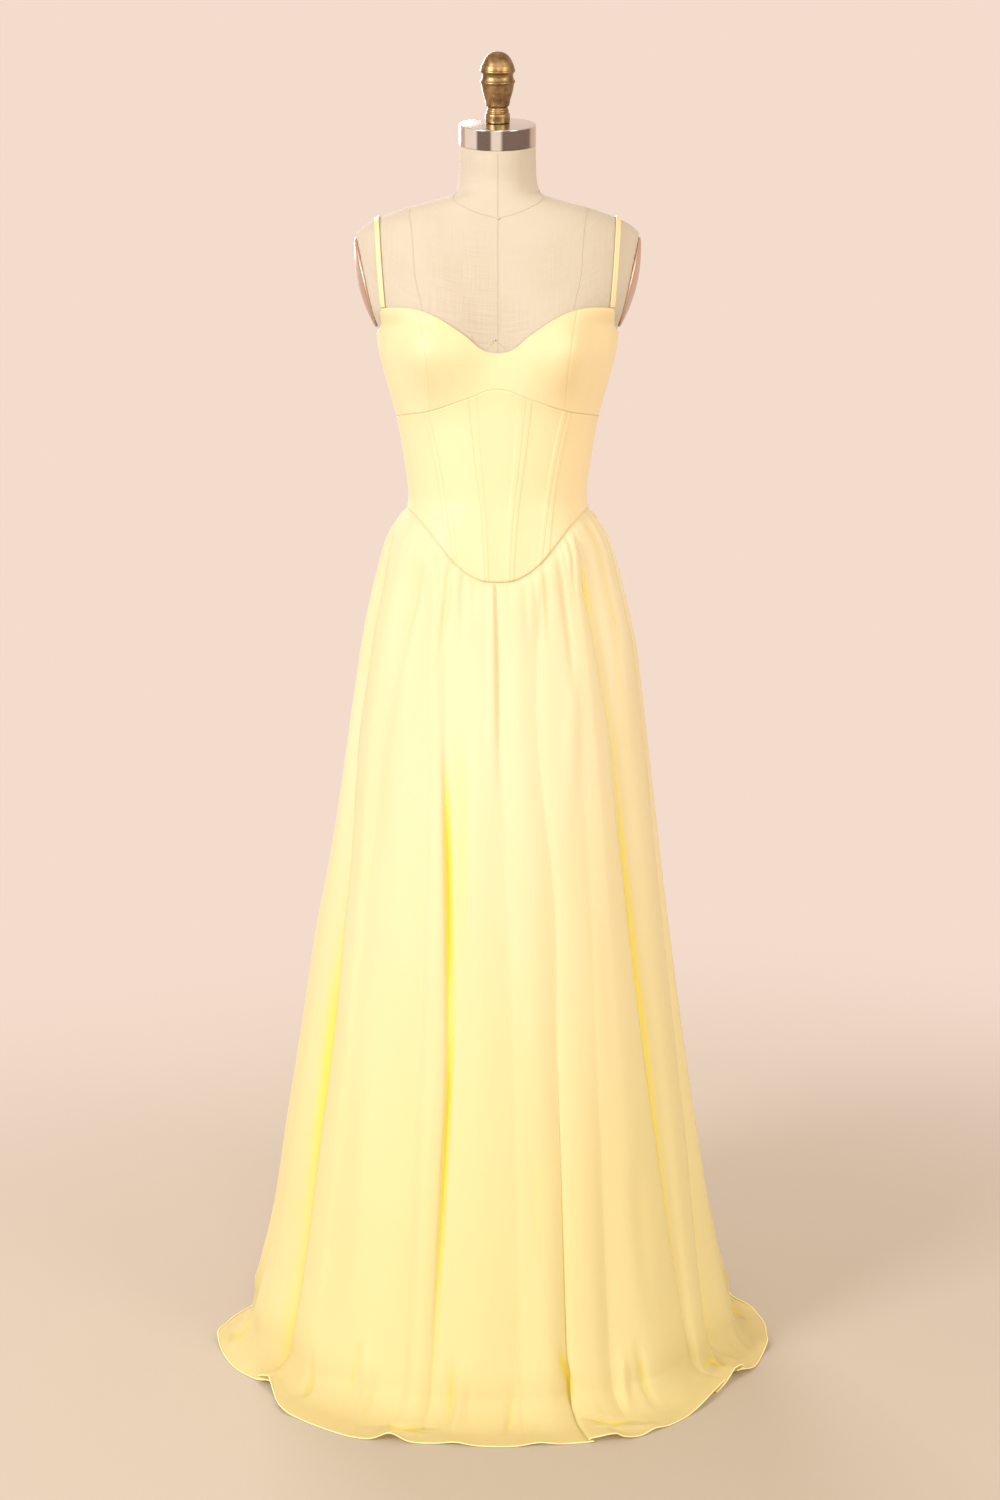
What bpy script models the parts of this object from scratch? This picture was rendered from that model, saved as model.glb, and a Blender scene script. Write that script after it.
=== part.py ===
"""A chiffon maxi dress with a boned bodice and narrow straps, on a limbless linen dress form.

Metres, +Z up, the front of the dress faces -Y. The origin is on the floor, under the middle of the
stand's base. Angles go round the upright axis: 0 at centre front, +90 at +X, 180 at centre back.
"""

import math
from collections import namedtuple

import bmesh
import bpy
from mathutils import Matrix, Vector

# Cloth and the gaps between pieces
BODICE_WALL = 0.0020
CHANNEL_RISE = 0.0007
CHANNEL_WIDTH = 0.0065
SKIRT_WALL = 0.0015
STRAP_WALL = 0.0016
STRAP_WIDTH = 0.0060
LIE_GAP = 0.0010
SEAM_GAP = 0.0003

# Dress form: body, neck, plates and stand
BUST_ANGLE = 37.0
BUST_SPREAD = 20.0
BUST_HEIGHT = 1.332
BUST_TALL = 0.046
BUST_DEPTH = 0.027
ARM_CUT_LOW = 1.3635
ARM_CUT_X = 0.1547
ARM_CUT_SLOPE = 0.225
ARM_PLATE_HEIGHT = 1.421
ARM_PLATE_TALL = 0.0580
ARM_PLATE_WIDE = 0.0420
ARM_PLATE_RIM = 0.0030
ARM_PLATE_CROWN = 0.0120
NECK_TILT = math.radians(16.0)
NECK_TILT_FROM = 1.530
NECK_TOP = 1.5895
NECK_TOP_Y = -0.0225
CAP_RADIUS = 0.0485
CAP_BAND = 0.0250
CAP_CROWN = 0.0020
CAP_EDGE = 0.0012
POLE_RADIUS = 0.0175
BASE_RADIUS = 0.165
BASE_THICK = 0.014
BASE_EDGE = 0.006
HUB_RADIUS = 0.036
HUB_HEIGHT = 0.050
HUB_TAPER = 0.010
HUB_EDGE = 0.003
FORM_BOTTOM = 0.880
FORM_COLUMNS = 40
CAP_STEPS = 32
FINIAL_STEPS = 18
PLATE_STEPS = 26
BASE_STEPS = 32
HUB_STEPS = 24
POLE_STEPS = 20

Section = namedtuple("Section", "z half_width front back power")
SECTIONS = (
    Section(0.880, 0.1500, 0.0980, 0.1120, 2.1),
    Section(0.900, 0.1560, 0.1050, 0.1200, 2.1),
    Section(0.950, 0.1600, 0.1080, 0.1230, 2.1),
    Section(1.000, 0.1550, 0.1035, 0.1170, 2.1),
    Section(1.036, 0.1485, 0.0990, 0.1090, 2.1),
    Section(1.076, 0.1375, 0.0945, 0.1000, 2.1),
    Section(1.115, 0.1230, 0.0905, 0.0930, 2.1),
    Section(1.145, 0.1140, 0.0885, 0.0915, 2.1),
    Section(1.194, 0.1191, 0.0915, 0.0950, 2.1),
    Section(1.251, 0.1290, 0.0960, 0.1010, 2.1),
    Section(1.304, 0.1434, 0.1010, 0.1050, 2.2),
    Section(1.335, 0.1510, 0.1020, 0.1070, 2.2),
    Section(1.3635, 0.1547, 0.1020, 0.1080, 2.3),
    Section(1.385, 0.1725, 0.1005, 0.1085, 2.4),
    Section(1.420, 0.1850, 0.0950, 0.1070, 2.4),
    Section(1.455, 0.1875, 0.0885, 0.1000, 2.3),
    Section(1.478, 0.1840, 0.0820, 0.0890, 2.2),
    Section(1.492, 0.1705, 0.0780, 0.0810, 2.1),
    Section(1.502, 0.1490, 0.0755, 0.0740, 2.0),
    Section(1.512, 0.1200, 0.0730, 0.0670, 2.0),
    Section(1.521, 0.0840, 0.0705, 0.0590, 2.0),
    Section(1.530, 0.0560, 0.0680, 0.0510, 2.0),
    Section(1.540, 0.0512, 0.0665, 0.0450, 2.0),
    Section(1.556, 0.0490, 0.0680, 0.0390, 2.0),
    Section(1.574, 0.0484, 0.0705, 0.0325, 2.0),
    Section(1.5895, 0.0482, 0.0715, 0.0275, 2.0),
)

# Heights of the body's further rings, where its outline is hollow or the bust swells
MORE_RINGS = (1.130, 1.157, 1.174, 1.2225, 1.264, 1.277, 1.290, 1.320, 1.350, 1.374, 1.403, 1.438)

# Seams of the front: distance from centre front at each height
Seam = namedtuple("Seam", "z x")
PRINCESS_SEAM = (Seam(1.262, 0.084), Seam(1.290, 0.0855), Seam(1.343, 0.0920), Seam(1.390, 0.1000))
INNER_SEAM = (Seam(1.040, 0.0150), Seam(1.120, 0.0195), Seam(1.200, 0.0287), Seam(1.290, 0.0375))
OUTER_SEAM = (Seam(1.060, 0.0560), Seam(1.120, 0.0622), Seam(1.190, 0.0725), Seam(1.270, 0.0900))

# Edges that run round the body: height at each angle
Edge = namedtuple("Edge", "angle z")
TOP_EDGE = (
    Edge(0, 1.3286), Edge(6, 1.3300), Edge(12, 1.3350), Edge(19, 1.3480), Edge(27, 1.3612),
    Edge(35, 1.3725), Edge(44, 1.3810), Edge(52, 1.3848), Edge(60, 1.3858), Edge(64, 1.3855),
    Edge(68, 1.3760), Edge(73, 1.3665), Edge(80, 1.3590), Edge(90, 1.3550), Edge(120, 1.3520), Edge(180, 1.3460),
)
UNDERBUST_EDGE = (
    Edge(0, 1.2852), Edge(8, 1.2830), Edge(16, 1.2768), Edge(27, 1.2695), Edge(41, 1.2606),
    Edge(56, 1.2548), Edge(90, 1.2508), Edge(180, 1.2508),
)
WAIST_EDGE = (
    Edge(0, 1.0417), Edge(10, 1.0434), Edge(21, 1.0520), Edge(30, 1.0650), Edge(44, 1.0915),
    Edge(56, 1.1125), Edge(70, 1.1265), Edge(90, 1.1335), Edge(180, 1.1335),
)
SIDE_ANGLE = 90.0

# Straps, in upright slices through a point inside the shoulder: distance from the middle at each
# turn, from level at the front over the top to level at the back
STRAP_MIDDLE = 1.400
STRAP_STATIONS = 24
Strap = namedtuple("Strap", "turn x")
STRAP_LINE = (
    Strap(-15, 0.1435), Strap(40, 0.1490), Strap(90, 0.1535), Strap(150, 0.1330), Strap(215, 0.1080),
)

# Skirt at each height: reach to the left, right, front and back over the tops of the folds
Hang = namedtuple("Hang", "z left right front back")
HANGS = (
    Hang(0.023, 0.354, 0.341, 0.309, 0.325),
    Hang(0.068, 0.339, 0.322, 0.298, 0.315),
    Hang(0.157, 0.317, 0.301, 0.279, 0.297),
    Hang(0.288, 0.296, 0.277, 0.253, 0.273),
    Hang(0.418, 0.274, 0.255, 0.227, 0.249),
    Hang(0.545, 0.254, 0.236, 0.201, 0.226),
    Hang(0.671, 0.229, 0.219, 0.176, 0.202),
    Hang(0.794, 0.208, 0.204, 0.152, 0.180),
    Hang(0.876, 0.195, 0.194, 0.136, 0.165),
    Hang(0.956, 0.182, 0.183, 0.120, 0.148),
    Hang(0.996, 0.174, 0.174, 0.112, 0.137),
    Hang(1.036, 0.164, 0.164, 0.104, 0.125),
    Hang(1.076, 0.151, 0.150, 0.100, 0.113),
    Hang(1.115, 0.132, 0.131, 0.097, 0.102),
    Hang(1.134, 0.121, 0.121, 0.094, 0.097),
)

# Hem on the floor: reach from the axis at each angle
Reach = namedtuple("Reach", "angle out")
HEM = (
    Reach(-180, 0.378), Reach(-160, 0.388), Reach(-140, 0.376), Reach(-125, 0.378), Reach(-112, 0.352),
    Reach(-98, 0.346), Reach(-88, 0.374), Reach(-79, 0.391), Reach(-67, 0.386), Reach(-55, 0.368),
    Reach(-42, 0.390), Reach(-30, 0.390), Reach(-20, 0.380), Reach(-10, 0.368), Reach(2, 0.369),
    Reach(14, 0.372), Reach(27, 0.386), Reach(41, 0.377), Reach(55, 0.363), Reach(66, 0.377),
    Reach(84, 0.374), Reach(92, 0.362), Reach(99, 0.341), Reach(112, 0.346), Reach(124, 0.372),
    Reach(136, 0.386), Reach(152, 0.370), Reach(180, 0.378),
)

# Valleys between the skirt's folds, from the left side seam round the front, right and back.
# Angles are at the waist seam, then at the five heights below it; depths are at the hip, knee and
# floor. lean is how far a fold hangs over the valley, as a share of its depth: above zero the fold
# before it, below zero the fold after it. steps is the number of columns to the next valley.
Valley = namedtuple("Valley", "name seam waist hip thigh knee floor deep_hip deep_knee deep_floor lean steps")
VALLEYS = (
    Valley("side seam left", -90, -90, -90, -90, -89, -88, 0.006, 0.012, 0.016, 0.00, 3),
    Valley("left fold", -79, -78, -73, -62, -57, -53.5, 0.013, 0.024, 0.030, -0.55, 5),
    Valley("left trough", -49, -53, -58, -54, -50, -46, 0.006, 0.002, 0.001, 0.00, 4),
    Valley("soft left", -40, -39, -34, -30, -27, -23, 0.001, 0.006, 0.009, 0.00, 3),
    Valley("deepest", -30, -33, -27, -20.5, -16, -16, 0.002, 0.007, 0.007, 0.00, 6),
    Valley("centre pleat", -1, -0.5, 2, 3.5, 5, 5.7, 0.004, 0.003, 0.006, 0.00, 5),
    Valley("centre right", 30, 28, 21, 23.5, 20.5, 18.3, 0.003, 0.006, 0.013, -0.30, 4),
    Valley("soft right", 48, 47, 42, 38, 34, 28, 0.001, 0.003, 0.006, 0.00, 4),
    Valley("right fold", 54.5, 55.5, 56, 53.5, 52, 51, 0.018, 0.024, 0.026, 0.55, 6),
    Valley("narrow right", 84, 84, 83.5, 81.5, 75, 58, 0.003, 0.010, 0.020, 0.35, 3),
    Valley("side seam right", 90, 90, 90, 90, 89, 88, 0.004, 0.010, 0.014, 0.00, 5),
    Valley("back right 1", 107, 107, 109, 110, 110, 112, 0.007, 0.018, 0.024, -0.30, 5),
    Valley("back right 2", 126, 126, 128, 129, 130, 131, 0.005, 0.012, 0.016, 0.20, 5),
    Valley("back right 3", 145, 145, 147, 149, 150, 153, 0.008, 0.020, 0.027, -0.40, 5),
    Valley("back right 4", 163, 163, 164, 165, 166, 167, 0.004, 0.010, 0.013, 0.20, 4),
    Valley("centre back seam", 180, 180, 180, 180, 180, 180, 0.008, 0.018, 0.022, 0.00, 5),
    Valley("back left 1", 197, 197, 198, 199, 200, 202, 0.005, 0.013, 0.018, -0.25, 5),
    Valley("back left 2", 216, 216, 217, 218, 219, 221, 0.009, 0.022, 0.028, 0.40, 5),
    Valley("back left 3", 234, 234, 235, 236, 237, 240, 0.005, 0.012, 0.015, -0.20, 5),
    Valley("back left 4", 252, 252, 253, 254, 255, 257, 0.007, 0.017, 0.022, 0.30, 4),
    Valley("side seam left again", 270, 270, 270, 270, 271, 272, 0.006, 0.012, 0.016, 0.00, 0),
)
SIDE_LEFT, SIDE_RIGHT, CENTRE_BACK, ROUND = 0, 10, 15, 20
SEAM_AT, WAIST_AT, HIP_AT, THIGH_AT, KNEE_AT = 1.10, 1.03, 0.85, 0.65, 0.45
VALLEY_START = 0.09
SOFT_VALLEY = 1.7
STEEP_GAIN = 4.0
SLACK_LOSS = 0.6
VALLEY_ROUND = 0.12
PUSH_NEAR = 0.6
PUSH_ENDS = 0.12
GATHER_DEEP = 0.0030
GATHER_START = 0.014
GATHER_LONG = 0.16
SEATED_ABOVE = 0.93
SEAT_LONG = 0.035

# Rows down the skirt: shares of the drop from the waist seam to where the cloth turns to the
# floor, then shares of the way out to the hem, of which the first part is the turn
FALL_SHARES = (0.0, 0.03, 0.075, 0.13, 0.20, 0.29, 0.39, 0.50, 0.61, 0.72, 0.83, 0.92, 1.0)
FLOOR_TURN = 0.045
POOL_SHARES = (0.08, 0.22, 0.42, 0.68, 0.84, 1.0)
TURN_PART = 0.62
RIDGE_LIFT = 0.0080

COLOURS = {
    "satin": ((0.94, 0.86, 0.52), 0.45, 0.0),
    "chiffon": ((0.93, 0.84, 0.50), 0.70, 0.0),
    "linen": ((0.74, 0.62, 0.46), 0.85, 0.0),
    "steel": ((0.66, 0.63, 0.61), 0.22, 1.0),
    "brass": ((0.33, 0.24, 0.14), 0.38, 1.0),
    "iron": ((0.05, 0.05, 0.05), 0.55, 0.6),
}


def mix(a, b, share):
    return a + (b - a) * share


def ease(share):
    share = min(1.0, max(0.0, share))
    return share * share * (3 - 2 * share)


def curve(xs, ys, at):
    """Height at a place along a smooth curve through points, which never overshoots them."""
    if at <= xs[0]:
        return ys[0]
    if at >= xs[-1]:
        return ys[-1]
    i = max(k for k in range(len(xs) - 1) if xs[k] <= at)

    def slope(k):
        if k == 0 or k == len(xs) - 1:
            k = min(k, len(xs) - 2)
            return (ys[k + 1] - ys[k]) / (xs[k + 1] - xs[k])
        before = (ys[k] - ys[k - 1]) / (xs[k] - xs[k - 1])
        after = (ys[k + 1] - ys[k]) / (xs[k + 1] - xs[k])
        if before * after <= 0:
            return 0.0
        return 2 * before * after / (before + after)

    wide = xs[i + 1] - xs[i]
    t = (at - xs[i]) / wide
    start = (2 * t**3 - 3 * t**2 + 1) * ys[i] + (t**3 - 2 * t**2 + t) * wide * slope(i)
    end = (3 * t**2 - 2 * t**3) * ys[i + 1] + (t**3 - t**2) * wide * slope(i + 1)
    return start + end


def read(rows, key, value, at):
    """Column value of a table where column key is at, smooth between its rows."""
    return curve([getattr(row, key) for row in rows], [getattr(row, value) for row in rows], at)


def arm_cut(z):
    """Distance from the middle of the flat that the arm plate sits on."""
    return ARM_CUT_X + ARM_CUT_SLOPE * (z - ARM_CUT_LOW)


def form_middle(z):
    """How far a section's middle lies behind the upright axis."""
    return (read(SECTIONS, "z", "back", z) - read(SECTIONS, "z", "front", z)) / 2


def form_radius(angle, z):
    """Reach of the form's surface from a section's middle, with the bust."""
    half = read(SECTIONS, "z", "half_width", z)
    deep = (read(SECTIONS, "z", "front", z) + read(SECTIONS, "z", "back", z)) / 2
    power = read(SECTIONS, "z", "power", z)
    turn = math.radians(angle)
    across = abs(math.sin(turn)) / half
    along = abs(math.cos(turn)) / deep
    radius = (across**power + along**power) ** (-1 / power)
    rise = (z - BUST_HEIGHT) / BUST_TALL
    for side in (-1, 1):
        off = (angle - side * BUST_ANGLE) / BUST_SPREAD
        radius += BUST_DEPTH * math.exp(-off * off - rise * rise)
    return radius


def form_point(angle, z):
    """A point of the dress form's surface, angle in degrees."""
    radius = form_radius(angle, z)
    turn = math.radians(angle)
    x = radius * math.sin(turn)
    if z >= ARM_CUT_LOW:
        x = max(-arm_cut(z), min(arm_cut(z), x))
    ahead = -radius * math.cos(turn)
    lean = ease((z - NECK_TILT_FROM) / (NECK_TOP - NECK_TILT_FROM)) * math.tan(NECK_TILT)
    return Vector((x, form_middle(z) + ahead, z + lean * ahead))


def off_form(angle, z, out):
    """A point at the given distance off the dress form's surface."""
    step = 0.8
    rise = 0.003
    round_way = form_point(angle + step, z) - form_point(angle - step, z)
    up_way = form_point(angle, z + rise) - form_point(angle, z - rise)
    return form_point(angle, z) + round_way.cross(up_way).normalized() * out


def edge_at(edge, angle):
    """Height of an edge at an angle, the same on both sides of the middle."""
    folded = abs((angle + 180) % 360 - 180)
    return read(edge, "angle", "z", folded)


def seam_at(seam, z, side):
    """Angle at which a seam of the front crosses a height, side -1 or +1."""
    x = read(seam, "z", "x", z)
    angle = 30.0
    for _ in range(12):
        reach = form_point(angle, z).x / math.sin(math.radians(angle))
        angle = math.degrees(math.asin(min(0.999, x / reach)))
    return side * angle


def material(name):
    made = bpy.data.materials.get(name)
    if made:
        return made
    colour, roughness, metallic = COLOURS[name]
    made = bpy.data.materials.new(name)
    made.use_nodes = True
    shader = made.node_tree.nodes["Principled BSDF"]
    shader.inputs["Base Color"].default_value = (*colour, 1.0)
    shader.inputs["Roughness"].default_value = roughness
    shader.inputs["Metallic"].default_value = metallic
    return made


def add_object(name, shape, finish, parent, sharp=40.0):
    bmesh.ops.recalc_face_normals(shape, faces=shape.faces)
    mesh = bpy.data.meshes.new(name)
    shape.to_mesh(mesh)
    shape.free()
    mesh.materials.append(material(finish))
    mesh.shade_smooth()
    mesh.set_sharp_from_angle(angle=math.radians(sharp))
    made = bpy.data.objects.new(name, mesh)
    made.parent = parent
    bpy.context.scene.collection.objects.link(made)
    return made


def wall(name, outer, inner, finish, parent):
    """A closed wall between two sheets of points that have the same rows and columns."""
    shape = bmesh.new()
    rows = len(outer)
    columns = len(outer[0])
    front = [[shape.verts.new(point) for point in row] for row in outer]
    back = [[shape.verts.new(point) for point in row] for row in inner]
    for i in range(rows - 1):
        for j in range(columns - 1):
            shape.faces.new((front[i][j], front[i][j + 1], front[i + 1][j + 1], front[i + 1][j]))
            shape.faces.new((back[i][j], back[i + 1][j], back[i + 1][j + 1], back[i][j + 1]))
    rim = [(0, j) for j in range(columns)] + [(i, columns - 1) for i in range(1, rows)]
    rim += [(rows - 1, j) for j in reversed(range(columns - 1))]
    rim += [(i, 0) for i in reversed(range(1, rows - 1))]
    for (i, j), (k, m) in zip(rim, rim[1:] + rim[:1]):
        shape.faces.new((front[k][m], front[i][j], back[i][j], back[k][m]))
    return add_object(name, shape, finish, parent)


def loft(name, rings, finish, parent):
    """A closed body through rings of points, flat at both ends."""
    shape = bmesh.new()
    made = [[shape.verts.new(point) for point in ring] for ring in rings]
    count = len(made[0])
    for low, high in zip(made, made[1:]):
        for j in range(count):
            k = (j + 1) % count
            shape.faces.new((low[j], low[k], high[k], high[j]))
    shape.faces.new(made[0])
    shape.faces.new(made[-1])
    return add_object(name, shape, finish, parent)


def turned(name, profile, steps, place, finish, parent):
    """A body of revolution from (radius, height) pairs that start and end on the axis."""
    shape = bmesh.new()
    points = [shape.verts.new((radius, 0.0, height)) for radius, height in profile]
    edges = [shape.edges.new(pair) for pair in zip(points, points[1:])]
    bmesh.ops.spin(
        shape, geom=points + edges, cent=(0, 0, 0), axis=(0, 0, 1), angle=math.tau, steps=steps
    )
    bmesh.ops.remove_doubles(shape, verts=shape.verts, dist=0.00001)
    made = add_object(name, shape, finish, parent)
    made.matrix_world = place
    return made


# Dress form

def make_torso(parent):
    rings = []
    for z in sorted([row.z for row in SECTIONS] + list(MORE_RINGS)):
        rings.append([form_point(360 * k / FORM_COLUMNS, z) for k in range(FORM_COLUMNS)])
    return loft("form_torso", rings, "linen", parent)


def neck_frame(along):
    """Place on the neck's leaning axis, at a distance above the neck's top."""
    lean = Matrix.Rotation(NECK_TILT, 4, "X")
    start = Vector((0, NECK_TOP_Y, NECK_TOP))
    return Matrix.Translation(start + lean @ Vector((0, 0, along))) @ lean


def make_neck_cap(parent):
    profile = (
        (0, 0), (CAP_RADIUS - CAP_EDGE, 0), (CAP_RADIUS, CAP_EDGE),
        (CAP_RADIUS, CAP_BAND - CAP_EDGE), (CAP_RADIUS - CAP_EDGE, CAP_BAND),
        (CAP_RADIUS * 0.6, CAP_BAND + CAP_CROWN * 0.65), (0, CAP_BAND + CAP_CROWN),
    )
    return turned("neck_cap", profile, CAP_STEPS, neck_frame(SEAM_GAP), "steel", parent)


def make_finial(parent):
    profile = (
        (0, 0), (0.0150, 0), (0.0155, 0.0020), (0.0155, 0.0090), (0.0147, 0.0112), (0.0136, 0.0135),
        (0.0127, 0.0179), (0.0131, 0.0194), (0.0147, 0.0209), (0.0159, 0.0268), (0.0178, 0.0328),
        (0.0194, 0.0388), (0.0204, 0.0447), (0.0221, 0.0492), (0.0206, 0.0522), (0.0194, 0.0560),
        (0.0221, 0.0622), (0.0209, 0.0656), (0.0192, 0.0702), (0.0172, 0.0745), (0.0140, 0.0790),
        (0.0090, 0.0826), (0, 0.0847),
    )
    place = neck_frame(SEAM_GAP * 2 + CAP_BAND + CAP_CROWN)
    return turned("finial", profile, FINIAL_STEPS, place, "brass", parent)


def make_arm_plate(side, parent):
    """An oval domed plate on the flat where an arm would join."""
    lean = math.atan(ARM_CUT_SLOPE)
    middle = Vector((side * arm_cut(ARM_PLATE_HEIGHT), 0, ARM_PLATE_HEIGHT))
    out = Vector((side * math.cos(lean), 0, -math.sin(lean)))
    up = Vector((side * math.sin(lean), 0, math.cos(lean))) * ARM_PLATE_TALL
    wide = Vector((0, ARM_PLATE_WIDE, 0))
    levels = [(1.0, 0.0), (1.0, ARM_PLATE_RIM)]
    for share in (0.90, 0.74, 0.52, 0.26):
        levels.append((share, mix(ARM_PLATE_CROWN, ARM_PLATE_RIM, share**2)))
    rings = []
    for share, height in levels:
        turns = [math.tau * k / PLATE_STEPS for k in range(PLATE_STEPS)]
        centre = middle + out * (SEAM_GAP + height)
        rings.append([centre + (wide * math.cos(turn) + up * math.sin(turn)) * share for turn in turns])
    name = "arm_plate_right" if side > 0 else "arm_plate_left"
    return loft(name, rings, "steel", parent)


def make_stand(parent):
    """A round foot, the socket on it and the pole that carries the body."""
    base = (
        (0, 0), (BASE_RADIUS - BASE_EDGE / 2, 0), (BASE_RADIUS, BASE_EDGE / 2),
        (BASE_RADIUS, BASE_THICK - BASE_EDGE), (BASE_RADIUS - BASE_EDGE, BASE_THICK), (0, BASE_THICK),
    )
    turned("stand_base", base, BASE_STEPS, Matrix.Identity(4), "iron", parent)
    foot = BASE_THICK + SEAM_GAP
    hub_top = foot + HUB_HEIGHT
    hub = (
        (0, foot), (HUB_RADIUS, foot), (HUB_RADIUS, foot + HUB_EDGE),
        (HUB_RADIUS - HUB_TAPER, hub_top - HUB_EDGE), (HUB_RADIUS - HUB_TAPER - HUB_EDGE, hub_top),
        (0, hub_top),
    )
    turned("stand_socket", hub, HUB_STEPS, Matrix.Identity(4), "iron", parent)
    low = hub_top + SEAM_GAP
    top = FORM_BOTTOM - SEAM_GAP
    pole = ((0, low), (POLE_RADIUS, low), (POLE_RADIUS, top), (0, top))
    turned("stand_pole", pole, POLE_STEPS, Matrix.Identity(4), "steel", parent)


# Bodice

def panel(name, left, right, low, high, columns, rows, parent, channels=(False, False)):
    """A bodice piece between two seams and two edges, raised along the seams that hold a bone."""
    heights = (low, high)

    def place(across, up, out, trim):
        angle = (left(1.2) + right(1.2)) / 2
        z = 1.2
        for _ in range(8):
            z = mix(edge_at(heights[0], angle) + trim, edge_at(heights[1], angle) - trim, up)
            inset = math.degrees(trim / 0.12)
            angle = mix(left(z) + inset, right(z) - inset, across)
        return off_form(angle, z, out)

    trim = SEAM_GAP / 2
    wide = (place(1, 0.5, 0, trim) - place(0, 0.5, 0, trim)).length
    edge = CHANNEL_WIDTH / wide
    slope = 0.0015 / wide
    shares = [k / columns for k in range(columns + 1)]
    raised = {}
    if channels[0]:
        shares = [0.0, edge, edge + slope] + [k for k in shares if k > edge + 3 * slope]
        raised.update({0.0: 1, edge: 1})
    if channels[1]:
        shares = [k for k in shares if k < 1 - edge - 3 * slope] + [1 - edge - slope, 1 - edge, 1.0]
        raised.update({1.0: 1, 1 - edge: 1})
    outer = []
    inner = []
    for i in range(rows + 1):
        up = i / rows
        inner.append([place(share, up, LIE_GAP, trim) for share in shares])
        outer.append([
            place(share, up, LIE_GAP + BODICE_WALL + CHANNEL_RISE * raised.get(share, 0), trim)
            for share in shares
        ])
    return wall(name, outer, inner, "satin", parent)


def make_bodice(parent):
    def along(rows, side):
        return lambda z: seam_at(rows, z, side)

    def upright(angle):
        return lambda z: angle

    def pair(name, near, far, low, high, columns, rows, boned=(False, False)):
        """The same piece on both sides: near and far give its two seams for side -1 or +1."""
        panel(name + "_left", far(-1), near(-1), low, high, columns, rows, parent, boned[::-1])
        panel(name + "_right", near(1), far(1), low, high, columns, rows, parent, boned)

    def princess(side):
        return along(PRINCESS_SEAM, side)

    def inner(side):
        return along(INNER_SEAM, side)

    def outer(side):
        return along(OUTER_SEAM, side)

    def side_seam(side):
        return upright(side * SIDE_ANGLE)

    def centre_back(side):
        return upright(side * 180)

    panel("bust_front", princess(-1), princess(1), UNDERBUST_EDGE, TOP_EDGE, 20, 9, parent)
    panel("corset_centre", inner(-1), inner(1), WAIST_EDGE, UNDERBUST_EDGE, 4, 10, parent, (True, True))
    pair("bust_side", princess, side_seam, UNDERBUST_EDGE, TOP_EDGE, 9, 9)
    pair("corset_inner", inner, outer, WAIST_EDGE, UNDERBUST_EDGE, 5, 10, (True, True))
    pair("corset_side", outer, side_seam, WAIST_EDGE, UNDERBUST_EDGE, 7, 9, (True, False))
    pair("bodice_back", side_seam, centre_back, WAIST_EDGE, TOP_EDGE, 10, 12)


# Straps

def height_over_form(point):
    """Distance outside the form's surface, below zero inside it."""
    behind = point.y - form_middle(point.z)
    angle = math.degrees(math.atan2(point.x, -behind))
    return math.hypot(point.x, behind) - form_radius(angle, point.z)


def strap_point(turn, across, out):
    """A point of the right strap: turn goes up the front, over the shoulder and down the back."""
    start = Vector((read(STRAP_LINE, "turn", "x", turn) + across, 0, STRAP_MIDDLE))
    way = Vector((0, -math.cos(math.radians(turn)), math.sin(math.radians(turn))))
    low, high = 0.0, 0.25
    for _ in range(40):
        reach = (low + high) / 2
        if height_over_form(start + way * reach) < 0:
            low = reach
        else:
            high = reach
    base = start + way * low
    steps = [Vector((0.002, 0, 0)), Vector((0, 0.002, 0)), Vector((0, 0, 0.002))]
    rises = [height_over_form(base + step) - height_over_form(base - step) for step in steps]
    return base + Vector(rises).normalized() * out


def strap_end(low, high):
    """The turn at which the strap comes down to just above the bodice, between two turns."""
    for _ in range(30):
        turn = (low + high) / 2
        point = strap_point(turn, 0, LIE_GAP)
        angle = math.degrees(math.atan2(point.x, form_middle(point.z) - point.y))
        if point.z > edge_at(TOP_EDGE, angle) + 3 * SEAM_GAP:
            high = turn
        else:
            low = turn
    return high


def make_straps(parent):
    first = strap_end(-30, 30)
    last = strap_end(230, 150)
    stations = [mix(first, last, k / STRAP_STATIONS) for k in range(STRAP_STATIONS + 1)]
    sides = (-STRAP_WIDTH / 2, STRAP_WIDTH / 2)
    for side, name in ((-1, "strap_left"), (1, "strap_right")):
        flip = Matrix.Diagonal((side, 1, 1))
        inner = [[flip @ strap_point(turn, across, LIE_GAP) for across in sides] for turn in stations]
        thick = LIE_GAP + STRAP_WALL
        outer = [[flip @ strap_point(turn, across, thick) for across in sides] for turn in stations]
        wall(name, outer, inner, "satin", parent)


# Skirt

def valley_angle(valley, z):
    """Angle of a valley line at a height, from its angles at six heights."""
    heights = (0, KNEE_AT, THIGH_AT, HIP_AT, WAIST_AT, SEAM_AT)
    angles = (valley.floor, valley.knee, valley.thigh, valley.hip, valley.waist, valley.seam)
    return curve(heights, angles, z)


def valley_depth(valley, z, below):
    """Depth of a valley at a height; below is the drop from the waist seam."""
    depths = (valley.deep_floor, valley.deep_knee, valley.deep_hip)
    return curve((0, KNEE_AT, HIP_AT), depths, z) * ease(below / VALLEY_START)


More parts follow.
